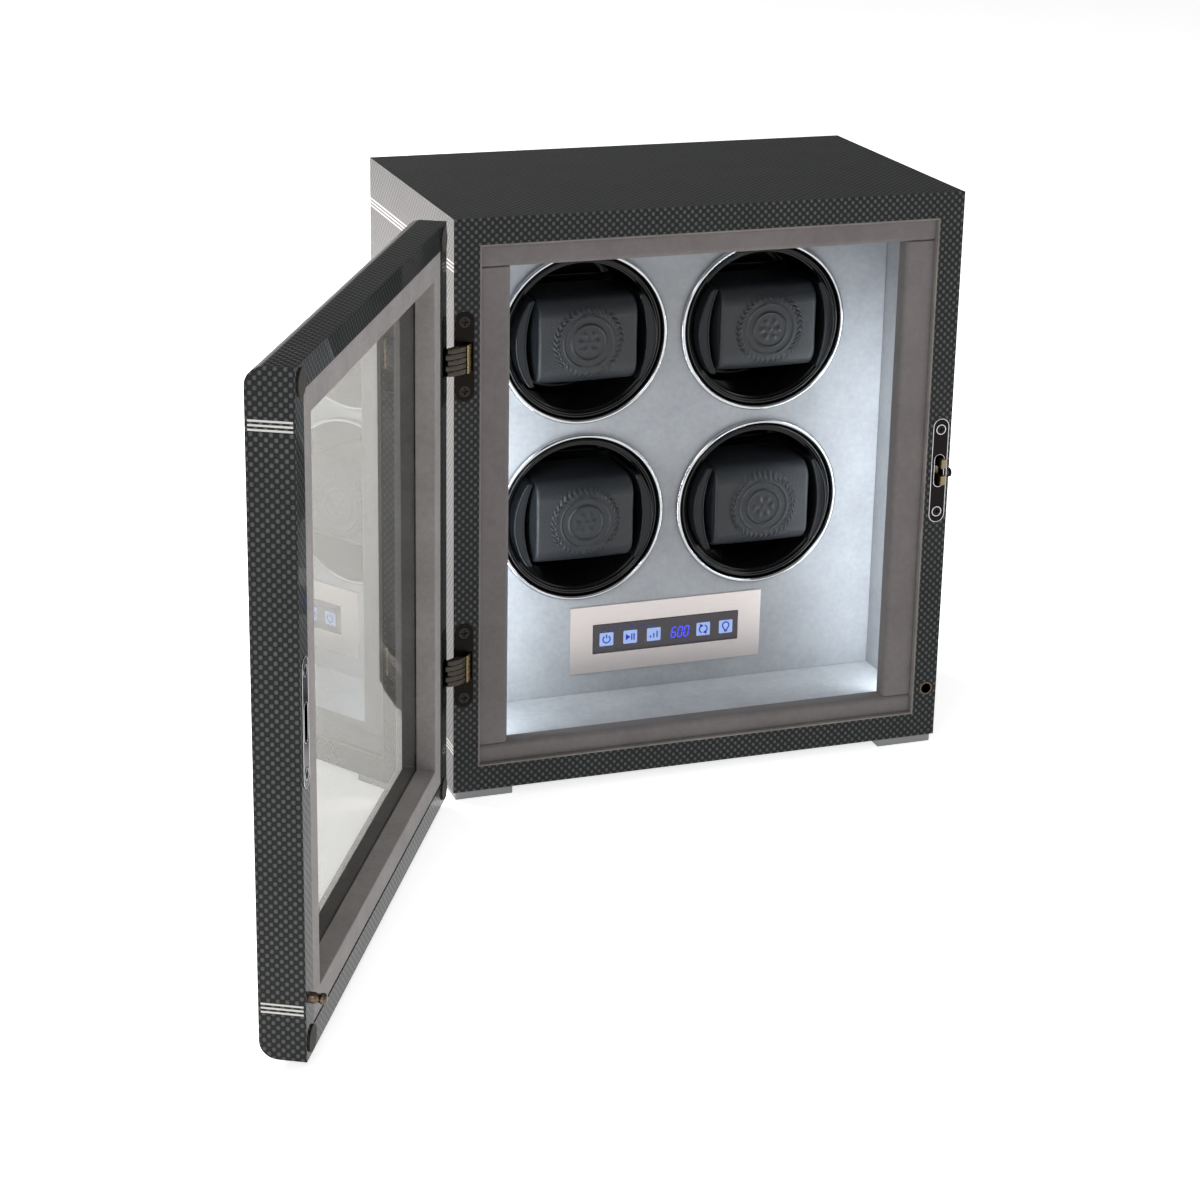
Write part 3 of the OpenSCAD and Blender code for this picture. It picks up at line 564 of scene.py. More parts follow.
SILVER = satin_metal("silver_pad", (0.24, 0.245, 0.25), 0.34)
CUP_BLACK = moulded("gloss_black", (0.003, 0.003, 0.0035), 0.06, 0.0, 0.36)
CRADLE = moulded("cradle_black", (0.006, 0.007, 0.0085), 0.1, 0.0, 0.24)
SOCKET = moulded("socket_black", (0.015, 0.015, 0.016), 0.45)
SMOKED = moulded("smoked_window", (0.016, 0.012, 0.019), 0.08, 0.5)
LEATHER = slate_leather()
FELT = suede("dark_felt", (0.016, 0.012, 0.009), (0.034, 0.027, 0.02), 0.5)
GLASS = pane_glass()
STRIP = glow("cool_strip", (0.82, 0.91, 1.0), 3.0)
KEY_BLUE = glow("key_blue", (0.3, 0.42, 0.74), 0.75)
KEY_INK = glow("key_ink", (0.01, 0.015, 0.4), 0.5)
DIGIT_BLUE = glow("digit_blue", (0.04, 0.05, 1.0), 2.2)
COVER = plain_board("cover_board", (0.012, 0.012, 0.012), (0.03, 0.029, 0.028))
CIRCUIT = plain_board("circuit_green", (0.012, 0.09, 0.035), (0.03, 0.17, 0.07))


# ---------- lacquered frames ----------

def mitre_sides():
    """For each side of the frame, the two mitre planes as a point and a
    normal that points out of that side's share, in x and z."""
    a, w, h = math.sqrt(0.5), CAB_W, CAB_H
    low_left, low_right = (0, 0), (w, 0)
    top_left, top_right = (0, h), (w, h)
    return {
        "bottom": [(low_left, (-a, a)), (low_right, (a, a))],
        "right": [(low_right, (-a, -a)), (top_right, (-a, a))],
        "top": [(top_right, (a, -a)), (top_left, (-a, -a))],
        "left": [(top_left, (a, a)), (low_left, (a, -a))],
    }


def lay_weave(obj, undo, stripes):
    """UVs in metres, flat on each face in the frame's own axes, and a face
    value that says where the inlay lines run."""
    me = obj.data
    n_loops, n_faces = len(me.loops), len(me.polygons)
    co = np.empty(len(me.vertices) * 3)
    me.vertices.foreach_get("co", co)
    normal = np.empty(n_faces * 3)
    me.polygons.foreach_get("normal", normal)
    corner = np.empty(n_loops, int)
    me.loops.foreach_get("vertex_index", corner)
    count = np.empty(n_faces, int)
    me.polygons.foreach_get("loop_total", count)
    back = np.array(undo)
    co = co.reshape(-1, 3) @ back[:3, :3].T + back[:3, 3]
    own = normal.reshape(-1, 3) @ back[:3, :3].T
    side = np.argmax(np.abs(own), 1)
    pair = np.array([[1, 2], [0, 2], [0, 1]])[np.repeat(side, count)]
    at = co[corner]
    uv = np.take_along_axis(at, pair, 1)
    me.uv_layers.new(name="weave")
    me.uv_layers["weave"].data.foreach_set("uv", uv.ravel())
    zone = me.attributes.new("inlay_zone", "FLOAT", "FACE")
    zone.data.foreach_set("value", (np.abs(own[:, 0]) > 0.8) * float(stripes))


def lacquered_frame(nodes, body, swing=None):
    """Four mitred members as one lacquered skin: the inner mitre faces go,
    the edges are rounded, and the mitre planes part it again."""
    undo = swing.inverted() if swing is not None else Matrix.Identity(4)
    whole = merged_copy(nodes.values(), undo)
    corner = in_cabinet([[0, 0, 0], [CAB_W, 0, 0], [0, 0, CAB_H],
                         [CAB_W, 0, CAB_H]])
    a = math.sqrt(0.5)
    planes = list(zip(corner, [(a, 0, -a), (a, 0, a), (a, 0, a), (a, 0, -a)]))
    inner = [face for face in whole.faces if any(
        abs(face.normal.dot(Vector(n))) > 0.999
        and abs((face.calc_center_median() - Vector(c)).dot(Vector(n))) < 2e-5
        for c, n in planes)]
    bmesh.ops.delete(whole, geom=inner, context="FACES")
    make_flats_whole(whole)
    ease_edges(whole, 0.7, 3)
    for side, cuts in mitre_sides().items():
        bm = whole.copy()
        for (x, z), (nx, nz) in cuts:
            at = Vector(in_cabinet([[x, 0, z]])[0])
            bmesh.ops.bisect_plane(
                bm, geom=bm.verts[:] + bm.edges[:] + bm.faces[:], dist=1e-7,
                plane_co=at, plane_no=Vector((nx, 0, nz)), clear_outer=True)
            open_edges = [e for e in bm.edges if e.is_boundary]
            bmesh.ops.holes_fill(bm, edges=open_edges, sides=0)
        bmesh.ops.recalc_face_normals(bm, faces=bm.faces)
        if swing is not None:
            bm.transform(swing)
        obj = as_object("lacquered_" + nodes[side], bm)
        even_faces(finish_mesh(obj, LACQUER, body, cover=[nodes[side]],
                               slot="lacquer"))
        lay_weave(obj, undo, side in ("left", "right"))
    whole.free()


# ---------- cups, cradles and cushions ----------

def bezel(x, z):
    """Bright ring with a crowned face and a sleeve behind it."""
    outline = eased(
        [(46.7, -2.1), (47.4, -3.0), (48.5, -3.0), (49.35, -2.2), (49.35, 0.0),
         (48.1, 0.0), (48.1, 8.9), (46.7, 8.9)],
        [0.35, 0.5, 0.5, 0.5, 0.1, 0.1, 0.1, 0.1])
    return turned(outline, (x, PANEL_Y, z), 160, closed=True)


def cup(x, z):
    """Gloss cup: a rolled lip, a bead, a step, a deep wall and a floor."""
    outline = eased(
        [(46.0, -0.9), (45.3, -1.7), (44.5, -1.75), (44.1, -1.2), (43.4, -1.2),
         (43.0, -0.6), (43.0, 0.7), (42.0, 0.9), (42.0, 41.5), (40.0, 43.8),
         (0.0, 43.8), (0.0, 44.8), (2.52, 44.8), (2.52, 50.0), (8.0, 50.0),
         (8.0, 46.8), (44.5, 46.8), (46.0, 45.3)],
        [0.4, 0.4, 0.3, 0.3, 0.3, 0.3, 0.3, 0.3, 1.2, 1.2, 0, 0, 0.1, 0.1, 0.4,
         0.4, 0.7, 0.7])
    return turned(outline, (x, PANEL_Y, z), 144, closed=True)


CHEEK_R, CHEEK_HALF, CHEEK_END, CHEEK_BOW = 41.2, 24.5, 29.8, 5.0
CRADLE_FLOOR = 40.5


def cheek(x, z, side):
    """Cheek between the cushion's bowed end and the cup: a crescent between
    the cup's arc and a flatter arc, carried from front to back. Its front
    edge is a round bead about a slightly sunk face."""
    bow_r = (CHEEK_HALF ** 2 + CHEEK_BOW ** 2) / (2 * CHEEK_BOW)
    turn_out = np.linspace(-1, 1, 30) * math.asin(CHEEK_HALF / CHEEK_R)
    turn_in = np.linspace(1, -1, 30) * math.asin(CHEEK_HALF / bow_r)
    middle = CHEEK_END + CHEEK_BOW - bow_r
    corners = np.concatenate([
        np.stack([CHEEK_R * np.cos(turn_out), CHEEK_R * np.sin(turn_out)], 1),
        np.stack([middle + bow_r * np.cos(turn_in), bow_r * np.sin(turn_in)], 1)])
    soft = np.full(60, 0.4)
    soft[[0, 29, 30, 59]] = 1.4
    ring = eased(corners, soft, 4)
    along = np.roll(ring, -1, 0) - np.roll(ring, 1, 0)
    along /= np.linalg.norm(along, axis=1)[:, None]
    across = np.linalg.norm(ring - ring[::-1], axis=1)
    inward = (np.stack([-along[:, 1], along[:, 0]], 1)
              * np.minimum(1, across / 3.4)[:, None])
    bend = np.linspace(0, math.pi / 2, 6)
    bead = [(0.9 - 0.9 * math.cos(a), -7.1 - 0.9 * math.sin(a)) for a in bend]
    steps = [(0, CRADLE_FLOOR)] + bead + [(1.15, -7.9), (1.3, -7.5)]
    points = np.concatenate([np.stack(
        [x + side * q[:, 0], np.full(len(q), PANEL_Y + y), z + q[:, 1]], -1)
        for q, y in ((ring + inward * d, y) for d, y in steps)])
    n, m = len(steps), len(ring)
    ends = [list(range(m)), list(range((n - 1) * m, n * m))[::-1]]
    return points, grid_faces(n, m, False, True).tolist() + ends


def cradle_back(x, z):
    """Back plate: a disc with its top and bottom cut flat."""
    reach = math.asin(CHEEK_HALF / CHEEK_R)
    right = arc(0, 0, CHEEK_R, -math.degrees(reach), math.degrees(reach), 24)
    outline = np.concatenate([right, -right]) + (x, z)
    back = PANEL_Y + CRADLE_FLOOR
    return slab(outline, back, back + 3.0, 0.3)


def seal_height(x, z):
    """Raised seal of plain rings: a low round boss, a ring of slanted leaves
    on its edge, two thin rims with a sunk band between them, and a small
    rosette, as a height over x and z."""
    r, t = np.hypot(x, z), np.arctan2(z, x)

    def ring(at, width):
        return np.exp(-((r - at) / width) ** 2)

    edge = np.clip((18.9 - r) / 1.5 + 0.5, 0, 1)
    boss = 0.5 * edge ** 2 * (3 - 2 * edge)
    outer = ring(19.4, 0.75) * (0.35 + 0.65 * np.cos(36 * t + 1.9 * (r - 18.6)))
    inner = ring(17.8, 0.65) * (0.35 + 0.65 * np.cos(36 * t - 1.9 * (r - 18.6)))
    leaves = 0.85 * outer + 0.75 * inner
    rims = 0.45 * ring(14.6, 0.45) + 0.7 * ring(9.8, 0.5)
    band = -0.3 * np.clip(1 - ((r - 12.2) / 2.0) ** 4, 0, 1)
    petals = 0.6 * ring(4.9, 1.5) * (0.3 + 0.7 * np.cos(6 * t))
    return boss + leaves + rims + band + petals + 0.5 * ring(0.0, 1.1)


END_EASE = 2.2


def cushion_form():
    """Half-width, section and crown of the stuffed cushion, about its own
    middle: a rounded section in y and z carried across x. It draws in near
    both ends, every side swells towards its middle, and the ends dome."""
    half_w, half_h, y0, y1, radius = 28.9, 23.9, -10.2, 39.9, 10.5
    mid_y, half_y = (y0 + y1) / 2, (y1 - y0) / 2
    t = np.linspace(0, 1, 15)[:-1] * math.pi / 2
    arc = np.stack([np.cos(t), np.sin(t)], 1) * radius
    turns = [np.array([[math.cos(q), -math.sin(q)], [math.sin(q), math.cos(q)]])
             for q in (0, math.pi / 2, math.pi, 1.5 * math.pi)]
    cy, cz = half_y - radius, half_h - radius
    centres = [(cy, cz), (-cy, cz), (-cy, -cz), (cy, -cz)]
    corners = [arc @ q.T + c for q, c in zip(turns, centres)]
    runs = []
    for i, n in enumerate((16, 136, 16, 12)):
        a, b = corners[i][-1], corners[(i + 1) % 4][0]
        runs += [corners[i], a + (b - a) * np.linspace(0, 1, n + 2)[1:-1, None]]
    section = np.concatenate(runs)
    straight = half_w - END_EASE
    x = np.concatenate([
        -half_w + END_EASE * (1 - np.cos(np.linspace(0, math.pi / 2, 10)))[:-1],
        np.linspace(-straight, straight, 186),
        half_w - END_EASE * (1 - np.cos(np.linspace(math.pi / 2, 0, 10)))[1:]])
    past = np.clip((np.abs(x) - straight) / END_EASE, 0, 1)
    draw = END_EASE * (1 - np.sqrt(np.clip(1 - past ** 2, 0, 1)))
    size = np.hypot(*section.T)
    ring = section[:, None] * (1 - draw[None] / size[:, None])[..., None]
    y, z = ring[..., 0], ring[..., 1]
    xs = np.broadcast_to(x, y.shape)
    belly = 1 - (xs / half_w) ** 2
    outward_y = np.sign(y) * (np.abs(y) > half_y * 0.4)
    outward_z = np.sign(z) * (np.abs(z) > half_h * 0.4)
    y, z = (y + belly * (1 - (z / half_h) ** 2) * outward_y,
            z + 0.9 * belly * (1 - (y / half_y) ** 2) * outward_z)
    on_face = np.clip((-y - half_y * 0.45) / 3, 0, 1)
    y = y - on_face * seal_height(xs, z)
    ruck = 0.13 * np.sin(xs * 0.55 + z * 0.21) * np.sin(z * 0.33 + 1.1)
    z = z + ruck * (1 - on_face)
    return np.stack([xs, y + mid_y, z], -1), half_w


def cushion(x, z):
    """The cushion's wrap with both ends closed by shrinking domed rings."""
    wrap, half_w = cushion_form()
    n, m, _ = wrap.shape
    sets = [(wrap.reshape(-1, 3), grid_faces(n, m, True, False))]
    for column, side in ((0, -1), (m - 1, 1)):
        rim = wrap[:, column]
        centre = rim.mean(0)
        k = np.linspace(1, 0, 9)[:, None, None]
        cap = centre + (rim - centre)[None] * k
        cap[..., 0] = side * (half_w + 2.4 * (1 - k[..., 0] ** 2))
        sets.append((cap.reshape(-1, 3), grid_faces(9, n, False, True)))
    points, faces = joined(*sets)
    return points + (x, PANEL_Y, z), faces


# ---------- controls ----------

WINDOW_X, WINDOW_Z, WINDOW_Y = CAB_W / 2 - 44.6, 47.95, 59.6
KEY_FRONT = 0.12
KEY_TOP = WINDOW_Y - KEY_FRONT


def tile(x0, z0, w, h, corner=0.7, front=KEY_FRONT):
    """Rounded flat tile on the window, from its lower left corner."""
    box = [(x0, z0), (x0 + w, z0), (x0 + w, z0 + h), (x0, z0 + h)]
    outline = eased(box, corner) + (WINDOW_X, WINDOW_Z)
    return slab(outline, WINDOW_Y - front, WINDOW_Y, front * 0.4)


def stroke(points, width, y=KEY_TOP):
    """A line of a given width through points, as a thin raised ribbon."""
    p = np.asarray(points, float)
    along = np.gradient(p, axis=0)
    along /= np.linalg.norm(along, axis=1)[:, None]
    across = np.stack([-along[:, 1], along[:, 0]], 1) * width / 2
    left, right = p + across, p - across
    ring = np.concatenate([left, right[::-1]]) + (WINDOW_X, WINDOW_Z)
    n = len(p)
    points = np.concatenate([
        np.stack([ring[:, 0], np.full(2 * n, y - d), ring[:, 1]], -1)
        for d in (0.06, 0.0)])
    strip = [[i, i + 1, 2 * n - 2 - i, 2 * n - 1 - i] for i in range(n - 1)]
    back = [[j + 2 * n for j in f][::-1] for f in strip]
    return points, strip + back + grid_faces(2, 2 * n, False, True).tolist()


KEY_X, KEY_Z, KEY_W, KEY_H = (3.9, 18.4, 32.8, 63.4, 77.4), 4.4, 8.4, 8.0


def key_signs():
    """Plain signs on the keys: on-off, start, level bars, turning arrows and
    a lamp."""
    cx = [x + KEY_W / 2 for x in KEY_X]
    cz = KEY_Z + KEY_H / 2
    power, start, bars, turns, lamp = cx
    lines = [
        arc(power, cz, 2.2, 125, 415), [(power, cz + 0.6), (power, cz + 2.9)],
        [(start + 0.9, cz - 2), (start + 0.9, cz + 2)],
        [(start + 2.3, cz - 2), (start + 2.3, cz + 2)],
        arc(turns, cz, 2.4, 110, 250), arc(turns, cz, 2.4, -70, 70),
        arc(lamp, cz + 0.8, 2.0, -50, 230),
        [(lamp - 1.3, cz - 0.7), (lamp - 0.8, cz - 2.0),
         (lamp + 0.8, cz - 2.0), (lamp + 1.3, cz - 0.7)],
        [(lamp - 0.9, cz - 2.8), (lamp + 0.9, cz - 2.8)]]
    lines += [[(bars + d, cz - 2), (bars + d, cz - 2 + h)]
              for d, h in ((-2, 1.6), (0, 2.8), (2, 4.0))]
    shapes = [stroke(p, 0.75) for p in lines]
    heads = [
        [(start - 2.8, cz - 2), (start + 0.2, cz), (start - 2.8, cz + 2)],
        [(turns - 2.3, cz + 3.3), (turns + 0.2, cz + 2.2),
         (turns - 1.5, cz + 0.9)],
        [(turns + 2.3, cz - 3.3), (turns - 0.2, cz - 2.2),
         (turns + 1.5, cz - 0.9)]]
    for head in heads:
        shapes.append(slab(np.array(head) + (WINDOW_X, WINDOW_Z),
                           KEY_TOP - 0.06, KEY_TOP, 0.01))
    return joined(*shapes)


def digits(number, x0, z0, w=2.5, h=6.1, pitch=3.9, lean=0.16):
    """Seven-segment figures that lean to the right."""
    segments = {
        "a": [(0.12, 1), (0.88, 1)], "b": [(1, 0.94), (1, 0.56)],
        "c": [(1, 0.44), (1, 0.06)], "d": [(0.12, 0), (0.88, 0)],
        "e": [(0, 0.06), (0, 0.44)], "f": [(0, 0.56), (0, 0.94)],
        "g": [(0.12, 0.5), (0.88, 0.5)]}
    shown = {"0": "abcdef", "6": "acdefg"}
    shapes = []
    for i, figure in enumerate(number):
        for s in shown[figure]:
            p = np.array(segments[s]) * (w, h)
            p[:, 0] += x0 + i * pitch + p[:, 1] * lean
            shapes.append(stroke(p + (0, z0), 0.5, WINDOW_Y))
    return joined(*shapes)


# ---------- hinges and lock ----------

def in_link(points):
    """The link's own frame, x away from the axis and y towards the cabinet,
    turned half as far as the door."""
    c, s = math.cos(DOOR_TURN / 2), math.sin(DOOR_TURN / 2)
    x, y = np.asarray(points, float).T
    return np.stack([PIVOT_X + c * x - s * y, PIVOT_Y + s * x + c * y], 1)


def leaf(k, z0, thick):
    """One hinge leaf: a flat outline with its upper and lower edges drawn
    in. Every second leaf is longer at its other end."""
    a = 0.0 if k % 2 == 0 else 1.4
    b = 1.4 - a
    outline = eased(
        [(4.5, -9.2 + b), (6.1, -9.2 + b), (8.0, -5.4), (9.0, 0.0), (8.0, 5.4),
         (6.1, 9.2 - a), (4.5, 9.2 - a)], [0.6, 0.6, 1.5, 2, 1.5, 0.6, 0.6], 4)
    flat = in_link(outline)
    n, inset, middle = len(flat), 0.12, flat.mean(0)
    out = flat - middle
    unit = out / np.linalg.norm(out, axis=1)[:, None]
    rings = [np.column_stack([flat - unit * pull, np.full(n, z)])
             for z, pull in ((z0, inset), (z0 + inset, 0),
                             (z0 + thick - inset, 0), (z0 + thick, inset))]
    faces = grid_faces(4, n, False, True).tolist()
    return np.concatenate(rings), faces + [
        list(range(n))[::-1], list(range(3 * n, 4 * n))]


def spring_strip(z0, z1):
    """Thin bright strip across the leaves' ends: an upright ribbon along a
    curve in the link's own frame."""
    line = np.array([(8.5, 4.6), (8.1, 5.9), (7.4, 7.3), (6.7, 8.5), (6.3, 9.2)])
    out = np.array([(0.88, 0.47)]) * 0.5
    ring = in_link(np.concatenate([line, (line + out)[::-1]]))
    n, m = len(ring), len(line)
    points = np.concatenate([
        np.column_stack([ring, np.full(n, z)]) for z in (z0, z1)])
    caps = [[i, i + 1, n - 2 - i, n - 1 - i] for i in range(m - 1)]
    return points, grid_faces(2, n, False, True).tolist() + caps + [
        [k + n for k in f][::-1] for f in caps]


def upright_pin(x, y, z0, z1, r, n=32):
    """Round pin about an upright axis, with chamfered ends."""
    t = np.linspace(0, 2 * math.pi, n, endpoint=False)
    profile = [(0, z0), (r - 0.3, z0), (r, z0 + 0.3), (r, z1 - 0.3),
               (r - 0.3, z1), (0, z1)]
    points = np.concatenate([np.stack(
        [x + q * np.cos(t), y + q * np.sin(t), np.full(n, z)], -1)
        for q, z in profile])
    return points, grid_faces(len(profile), n, False, True)


def slot_path(length, width, n=20):
    """Closed upright path with round ends about the origin, in x and z."""
    t = np.linspace(0, math.pi, n)
    r, d = width / 2, (length - width) / 2
    top = np.stack([r * np.cos(t), d + r * np.sin(t)], 1)
    low = np.stack([-r * np.cos(t), -d - r * np.sin(t)], 1)
    return np.concatenate([top, low])


# ---------- build ----------

def build_cabinet():
    """Boards, feet, back cover, linings, bezels and the plain inner parts."""
    lacquered_frame({"bottom": "bottom_board", "right": "right_board",
                     "top": "top_board", "left": "left_board"}, "cabinet")
    softened("foot_pads", ["feet"], SILVER, radius=0.6, slot="foot_pad")
    softened("back_panel", ["back_cover"], COVER, radius=0.4, shortest=20,
             whole=False, slot="cover_board")
    softened("back_panel_screws", ["back_screws"], DARK_STEEL, radius=0.1,
             slot="dark_steel")
    softened("power_inlet", ["power_socket"], SOCKET, radius=0.2,
             slot="socket_plastic")
    softened("lined_lip", ["opening_lip"], LIP, radius=0.3, slot="lip_suede")
    softened("lined_top_rail", ["frame_top_rail"], TAUPE, radius=0.5, slot="suede")
    softened("lined_bottom_rail", ["frame_bottom_rail"], TAUPE, radius=0.5,
             slot="suede")
    softened("lined_stiles", ["frame_stiles"], TAUPE, radius=0.5, slot="suede")
    softened("lined_sides", ["side_liners"], LINING, radius=0.3,
             slot="lining_suede")
    softened("lined_floor", ["floor_pad"], LIT_FLOOR_LINING, radius=1.0, segments=3,
             slot="lining_suede")
    softened("lined_ceiling", ["ceiling_pad"], LINING, radius=1.0, segments=3,
             slot="lining_suede")
    softened("lined_panel", ["winder_panel"], LINING, radius=0.4,
             slot="lining_suede")
    dress("led_strips", STRIP)
    dress("cup_housings", CRADLE)
    dress("gearmotors", STEEL)
    dress("control_board", CIRCUIT)
    rings = [bezel(x, z) for x, z in CUPS.values()]
    piece("bezels", joined(*rings), CHROME, cover=["bezel_rings"],
          slot="bezel_chrome")


def build_controls():
    """Control plate, its window and what is lit behind it."""
    softened("satin_plate", ["control_plate"], PLATE, radius=0.3,
             slot="plate_metal")
    softened("smoked_pane", ["display_window"], SMOKED, radius=0.1,
             slot="window_dark")
    keys = joined(*[tile(x, KEY_Z, KEY_W, KEY_H) for x in KEY_X])
    piece("touch_keys", keys, KEY_BLUE, slot="window_dark")
    piece("key_signs", key_signs(), KEY_INK, slot="window_dark")
    piece("turns_display", digits("600", 47.6, 5.2), DIGIT_BLUE,
          slot="window_dark")
    dots = joined(*[tile(4.6 + 6.1 * i, 14.4, 2.2, 0.7, 0.3, 0.06)
                    for i in range(6)])
    piece("mode_lights", dots, KEY_INK, slot="window_dark")


def build_lock():
    """Strike and keeper with their rims, hook, button, bush and pin."""
    softened("strike_face", ["strike_plate"], BLACK_NICKEL, radius=0.2,
             slot="black_nickel")
    softened("keeper_face", ["keeper_plate"], BLACK_NICKEL, "door", radius=0.2,
             slot="keeper_nickel")
    band = eased([(-0.35, 0.2), (-0.35, 0.5), (0.1, 0.5), (0.1, 0.2)], 0.12, 3)
    collar = eased([(2.45, -0.3), (2.45, -0.55), (3.0, -0.55), (3.0, -0.3)],
                   0.12, 4)
    for name, place, body in (("strike", in_cabinet, "cabinet"),
                              ("keeper", facing, "door")):
        rims = [carried(band, slot_path(60.8, 9.5) + (LOCK_X, LOCK_Z)),
                carried(band, slot_path(19.2, 6.1) + (LOCK_X, LOCK_Z))]
        rims += [turned(collar, (LOCK_X, 0, LOCK_Z + s * 24.1), 48, closed=True)
                 for s in (-1, 1)]
        piece(name + "_rims", joined(*rims), CHROME, body, place,
              slot="keeper_nickel")
    softened("strike_plate_screws", ["strike_screws"], DARK_STEEL,
             radius=0.12, slot="motor_steel")
    softened("keeper_plate_screws", ["keeper_screws"], DARK_STEEL, "door",
             radius=0.12, slot="motor_steel")
    dress("lock_case", BRONZE)
    softened("sprung_catch", ["lock_catch"], HOOK, "catch", radius=0.15,
             slot="brass")
    softened("push_button", ["lock_button"], BLACK_NICKEL, "release_button",
             radius=0.15, slot="black_nickel")
    bush = eased(
        [(3.1, -0.15), (3.8, -0.15), (3.8, 10.8), (0.0, 10.8), (0.0, 9.8),
         (2.9, 9.8), (2.9, 0.3)], [0.15, 0.2, 0.1, 0, 0, 0.1, 0.2], 4)
    piece("turned_bush", turned(bush, (LOCK_X, 0, GUIDE_Z), 64, closed=True),
          BRONZE, cover=["guide_bush"], slot="brass")
    rim = eased([(3.0, -0.1), (3.0, -0.32), (3.85, -0.32), (3.85, -0.1)], 0.15, 4)
    piece("bush_rim", turned(rim, (LOCK_X, 0, GUIDE_Z), 64, closed=True), PIN,
          slot="brass")
    pin = eased(
        [(0.0, -8.0), (1.5, -8.0), (2.55, -6.9), (2.55, -5.4), (2.0, -4.6),
         (2.0, -3.4), (2.58, -2.8), (2.58, 8.0), (0.0, 8.0)],
        [0, 0.8, 0.8, 0.5, 0.5, 0.4, 0.3, 0.2, 0], 5, closed=False)
    piece("turned_pin", turned(pin, (LOCK_X, 0, GUIDE_Z), 48), PIN, "door", facing,
          cover=["guide_pin"], slot="pin_bronze")


def build_hinges():
    """Cups and screws on both sides, and the leaves that join them."""
    softened("bronze_hinge_cups", ["hinge_cups"], BRONZE, radius=0.2,
             slot="hinge_bronze")
    softened("bronze_hinge_screws", ["hinge_screws"], DARK_STEEL, radius=0.12,
             slot="dark_steel")
    softened("door_bronze_cups", ["door_hinge_cups"], BRONZE, "door",
             radius=0.2, slot="hinge_bronze")
    softened("door_bronze_screws", ["door_hinge_screws"], DARK_STEEL, "door",
             radius=0.12, slot="dark_steel")
    px, py = in_link([(LINK_PIN_R, 0)])[0]
    shapes = []
    for z in HINGE_Z:
        shapes += [leaf(k, z - 7.5 + 3 * k + 0.15, 2.7) for k in range(5)]
        shapes.append(upright_pin(px, py, z - 7.45, z + 7.45, 1.4))
    strips = [spring_strip(z - 7.6, z + 7.6) for z in HINGE_Z]
    piece("link_springs", joined(*strips), BRASS, "hinge_link",
          slot="hinge_bronze")
    piece("link_leaves", joined(*shapes), LEAF_BRONZE, "hinge_link",
          cover=["hinge_links"], slot="hinge_bronze")


def build_door():
    """Lacquered frame, lined reveal, pane and bumpers."""
    lacquered_frame({"bottom": "door_bottom_rail", "right": "door_free_stile",
                     "top": "door_top_rail", "left": "door_hinge_stile"},
                    "door", DOOR_SWING)
    softened("lined_reveal", ["door_reveal"], REVEAL, "door", radius=0.5,
             segments=3, slot="suede")
    softened("clear_pane", ["door_glass"], GLASS, "door", radius=0.3,
             slot="glass")
    softened("felt_bumpers", ["door_bumpers"], FELT, "door", radius=0.25,
             slot="felt")


def build_cups():
    """Each place's turning cup, cradle and cushion."""
    for key, (x, z) in CUPS.items():
        rotor, holder = "rotor_" + key, "holder_" + key
        piece("gloss_cup_" + key, cup(x, z), CUP_BLACK, rotor,
              cover=["cup_" + key], slot="cup_black")
        dress("shaft_" + key, STEEL)
        frame_set = joined(cheek(x, z, -1), cheek(x, z, 1), cradle_back(x, z))
        piece("cushion_frame_" + key, frame_set, CRADLE, holder,
              cover=["cradle_" + key], slot="cradle_plastic")
        pad = piece("leather_cushion_" + key, cushion(x, z), LEATHER, holder,
                    sharp=70, cover=["cushion_" + key], slot="leather")


# ---------- studio ----------

def soft_light(name, at, to, size, power, colour=(1, 1, 1), size_y=None):
    """A square or upright oblong light that faces a point."""
    data = bpy.data.lights.new(name, "AREA")
    data.energy, data.color, data.size = power, colour, size
    if size_y:
        data.shape, data.size_y = "RECTANGLE", size_y
    obj = linked(name, data)
    obj.location = at
    way = Vector(to) - Vector(at)
    obj.rotation_euler = way.to_track_quat("-Z", "Y").to_euler()
    obj.visible_camera = False


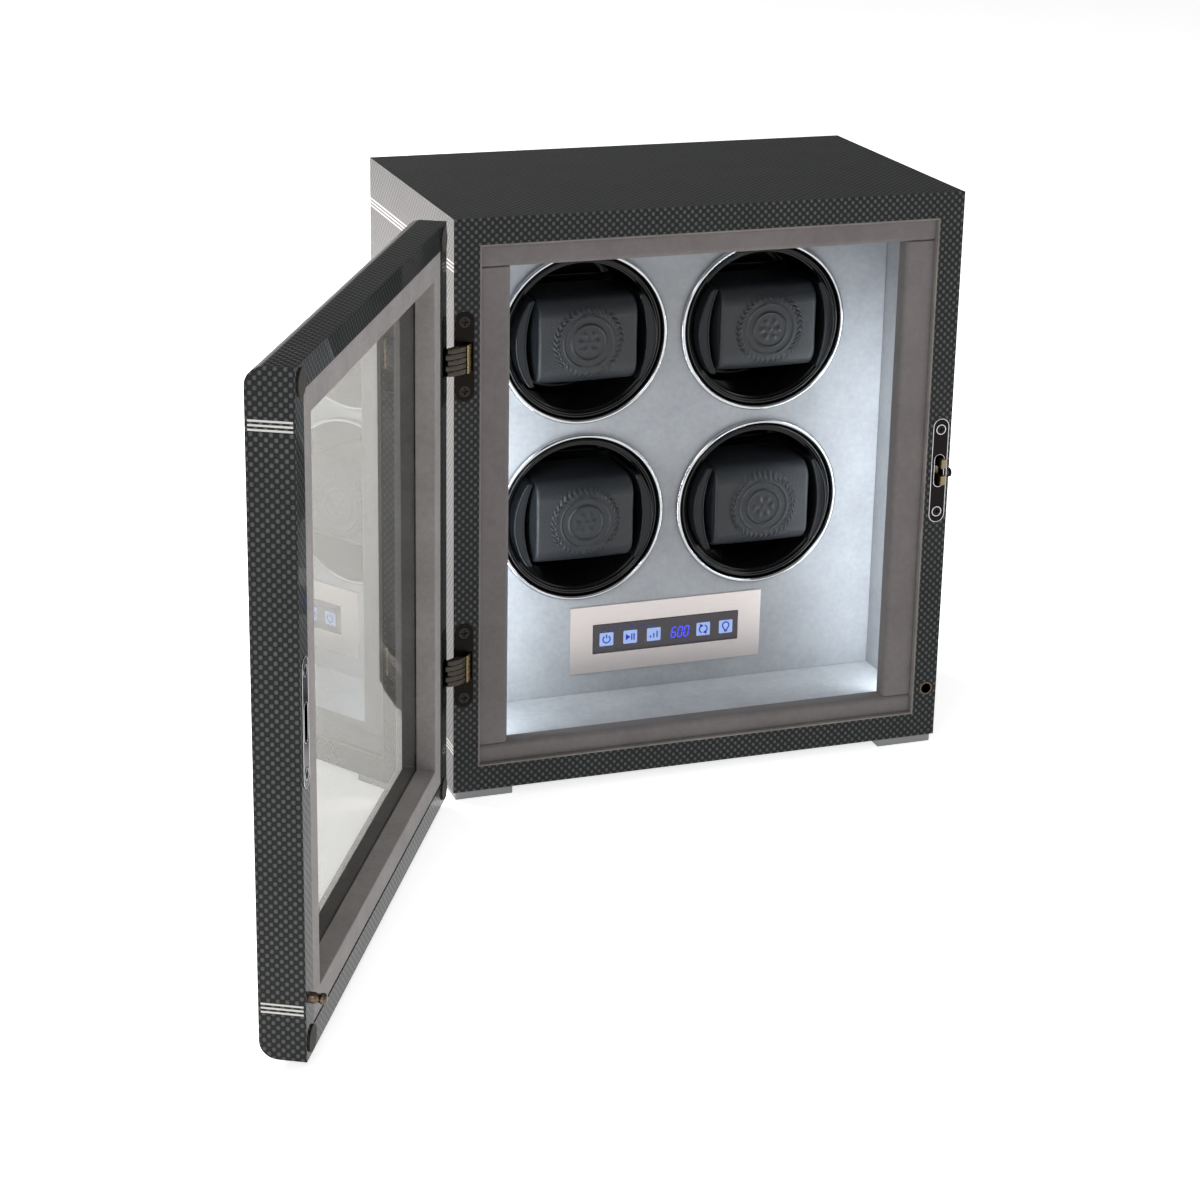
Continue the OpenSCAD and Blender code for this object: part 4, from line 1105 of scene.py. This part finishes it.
def build_studio():
    """Pale floor, a room that is bright low down and dark above, soft lights
    round the object, and a light behind each front stile."""
    bpy.context.scene.view_settings.view_transform = "Standard"
    f = Finish("pale_floor", (0.9, 0.9, 0.9), 0.8, Specular_IOR_Level=0.1,
               Emission_Strength=0.74)
    tone = f.noise(3.0, 2.0)
    f.set("Base Color", f.blend(tone, (0.88, 0.88, 0.88), (0.92, 0.92, 0.92)))
    f.set("Emission Color", (1, 1, 1, 1))
    size = 14.0
    me = bpy.data.meshes.new("pale_floor")
    me.from_pydata([(-size, -size, 0), (size, -size, 0), (size, size, 0),
                    (-size, size, 0)], [], [(0, 1, 2, 3)])
    me.materials.append(f.material)
    linked("pale_floor", me)

    world = bpy.data.worlds.new("soft_room")
    bpy.context.scene.world = world
    world.use_nodes = True
    room = Nodes(world.node_tree)
    way = room.node("ShaderNodeTexCoord").outputs["Generated"]
    levels = [(0.0, 0.9), (0.08, 0.85), (0.15, 0.03), (0.55, 0.03), (0.85, 0.3)]
    ramp = room.node("ShaderNodeValToRGB",
                     dict(stops=[(at, (grey,) * 3) for at, grey in levels]),
                     {0: room.axes(way)[2]})
    back = room.tree.nodes["Background"]
    room.plug(back.inputs["Color"], ramp.outputs[0])
    room.plug(back.inputs["Strength"], 1.0)

    soft_light("overhead", (0.1, -0.1, 2.1), (0, 0, 0.1), 2.4, 5)
    soft_light("front_left", (-1.5, -2.2, 1.5), (0, 0, 0.15), 1.3, 19)
    soft_light("front_right", (1.7, -2.0, 1.1), (0.05, 0, 0.15), 1.1, 7)
    soft_light("behind_left", (-0.9, 0.95, 1.3), (-0.75, 0.75, 0.0), 0.8, 52,
               (1.0, 0.93, 0.91))
    for name, x, inward, power in (("left_strip", 22.0, 14, 0.15),
                                   ("right_strip", 268.0, -14, 0.09)):
        at, to = in_cabinet([[x, 15.0, 125.0], [x + inward, PANEL_Y, 125.0]])
        soft_light(name, at, to, 0.006, power, (0.88, 0.95, 1.0), 0.21)


def build_camera():
    """Pinhole at a place, aimed by yaw to the right, pitch down and roll."""
    focal, yaw, pitch, roll = 2688.354, 0.3389, 0.3101, -0.0186
    width, centre_y = 1200, 480
    ahead = np.array([math.sin(yaw) * math.cos(pitch),
                      math.cos(yaw) * math.cos(pitch), -math.sin(pitch)])
    right = np.array([math.cos(yaw), -math.sin(yaw), 0.0])
    down = np.cross(ahead, right)
    c, s = math.cos(roll), math.sin(roll)
    right, down = right * c + down * s, down * c - right * s
    data = bpy.data.cameras.new("camera")
    data.sensor_width = 36
    data.lens = focal / width * 36
    data.shift_y = (centre_y - width / 2) / width
    cam = linked("camera", data)
    turn = Matrix(np.stack([right, -down, -ahead], 1).tolist()).to_4x4()
    at = in_cabinet([[-375.8042, -1298.0818, 614.143]])[0]
    cam.matrix_world = Matrix.Translation(Vector(at)) @ turn
    data.clip_start, data.clip_end = 0.05, 60
    bpy.context.scene.camera = cam


build_camera()
build_studio()
build_cabinet()
build_controls()
build_lock()
build_hinges()
build_door()
build_cups()
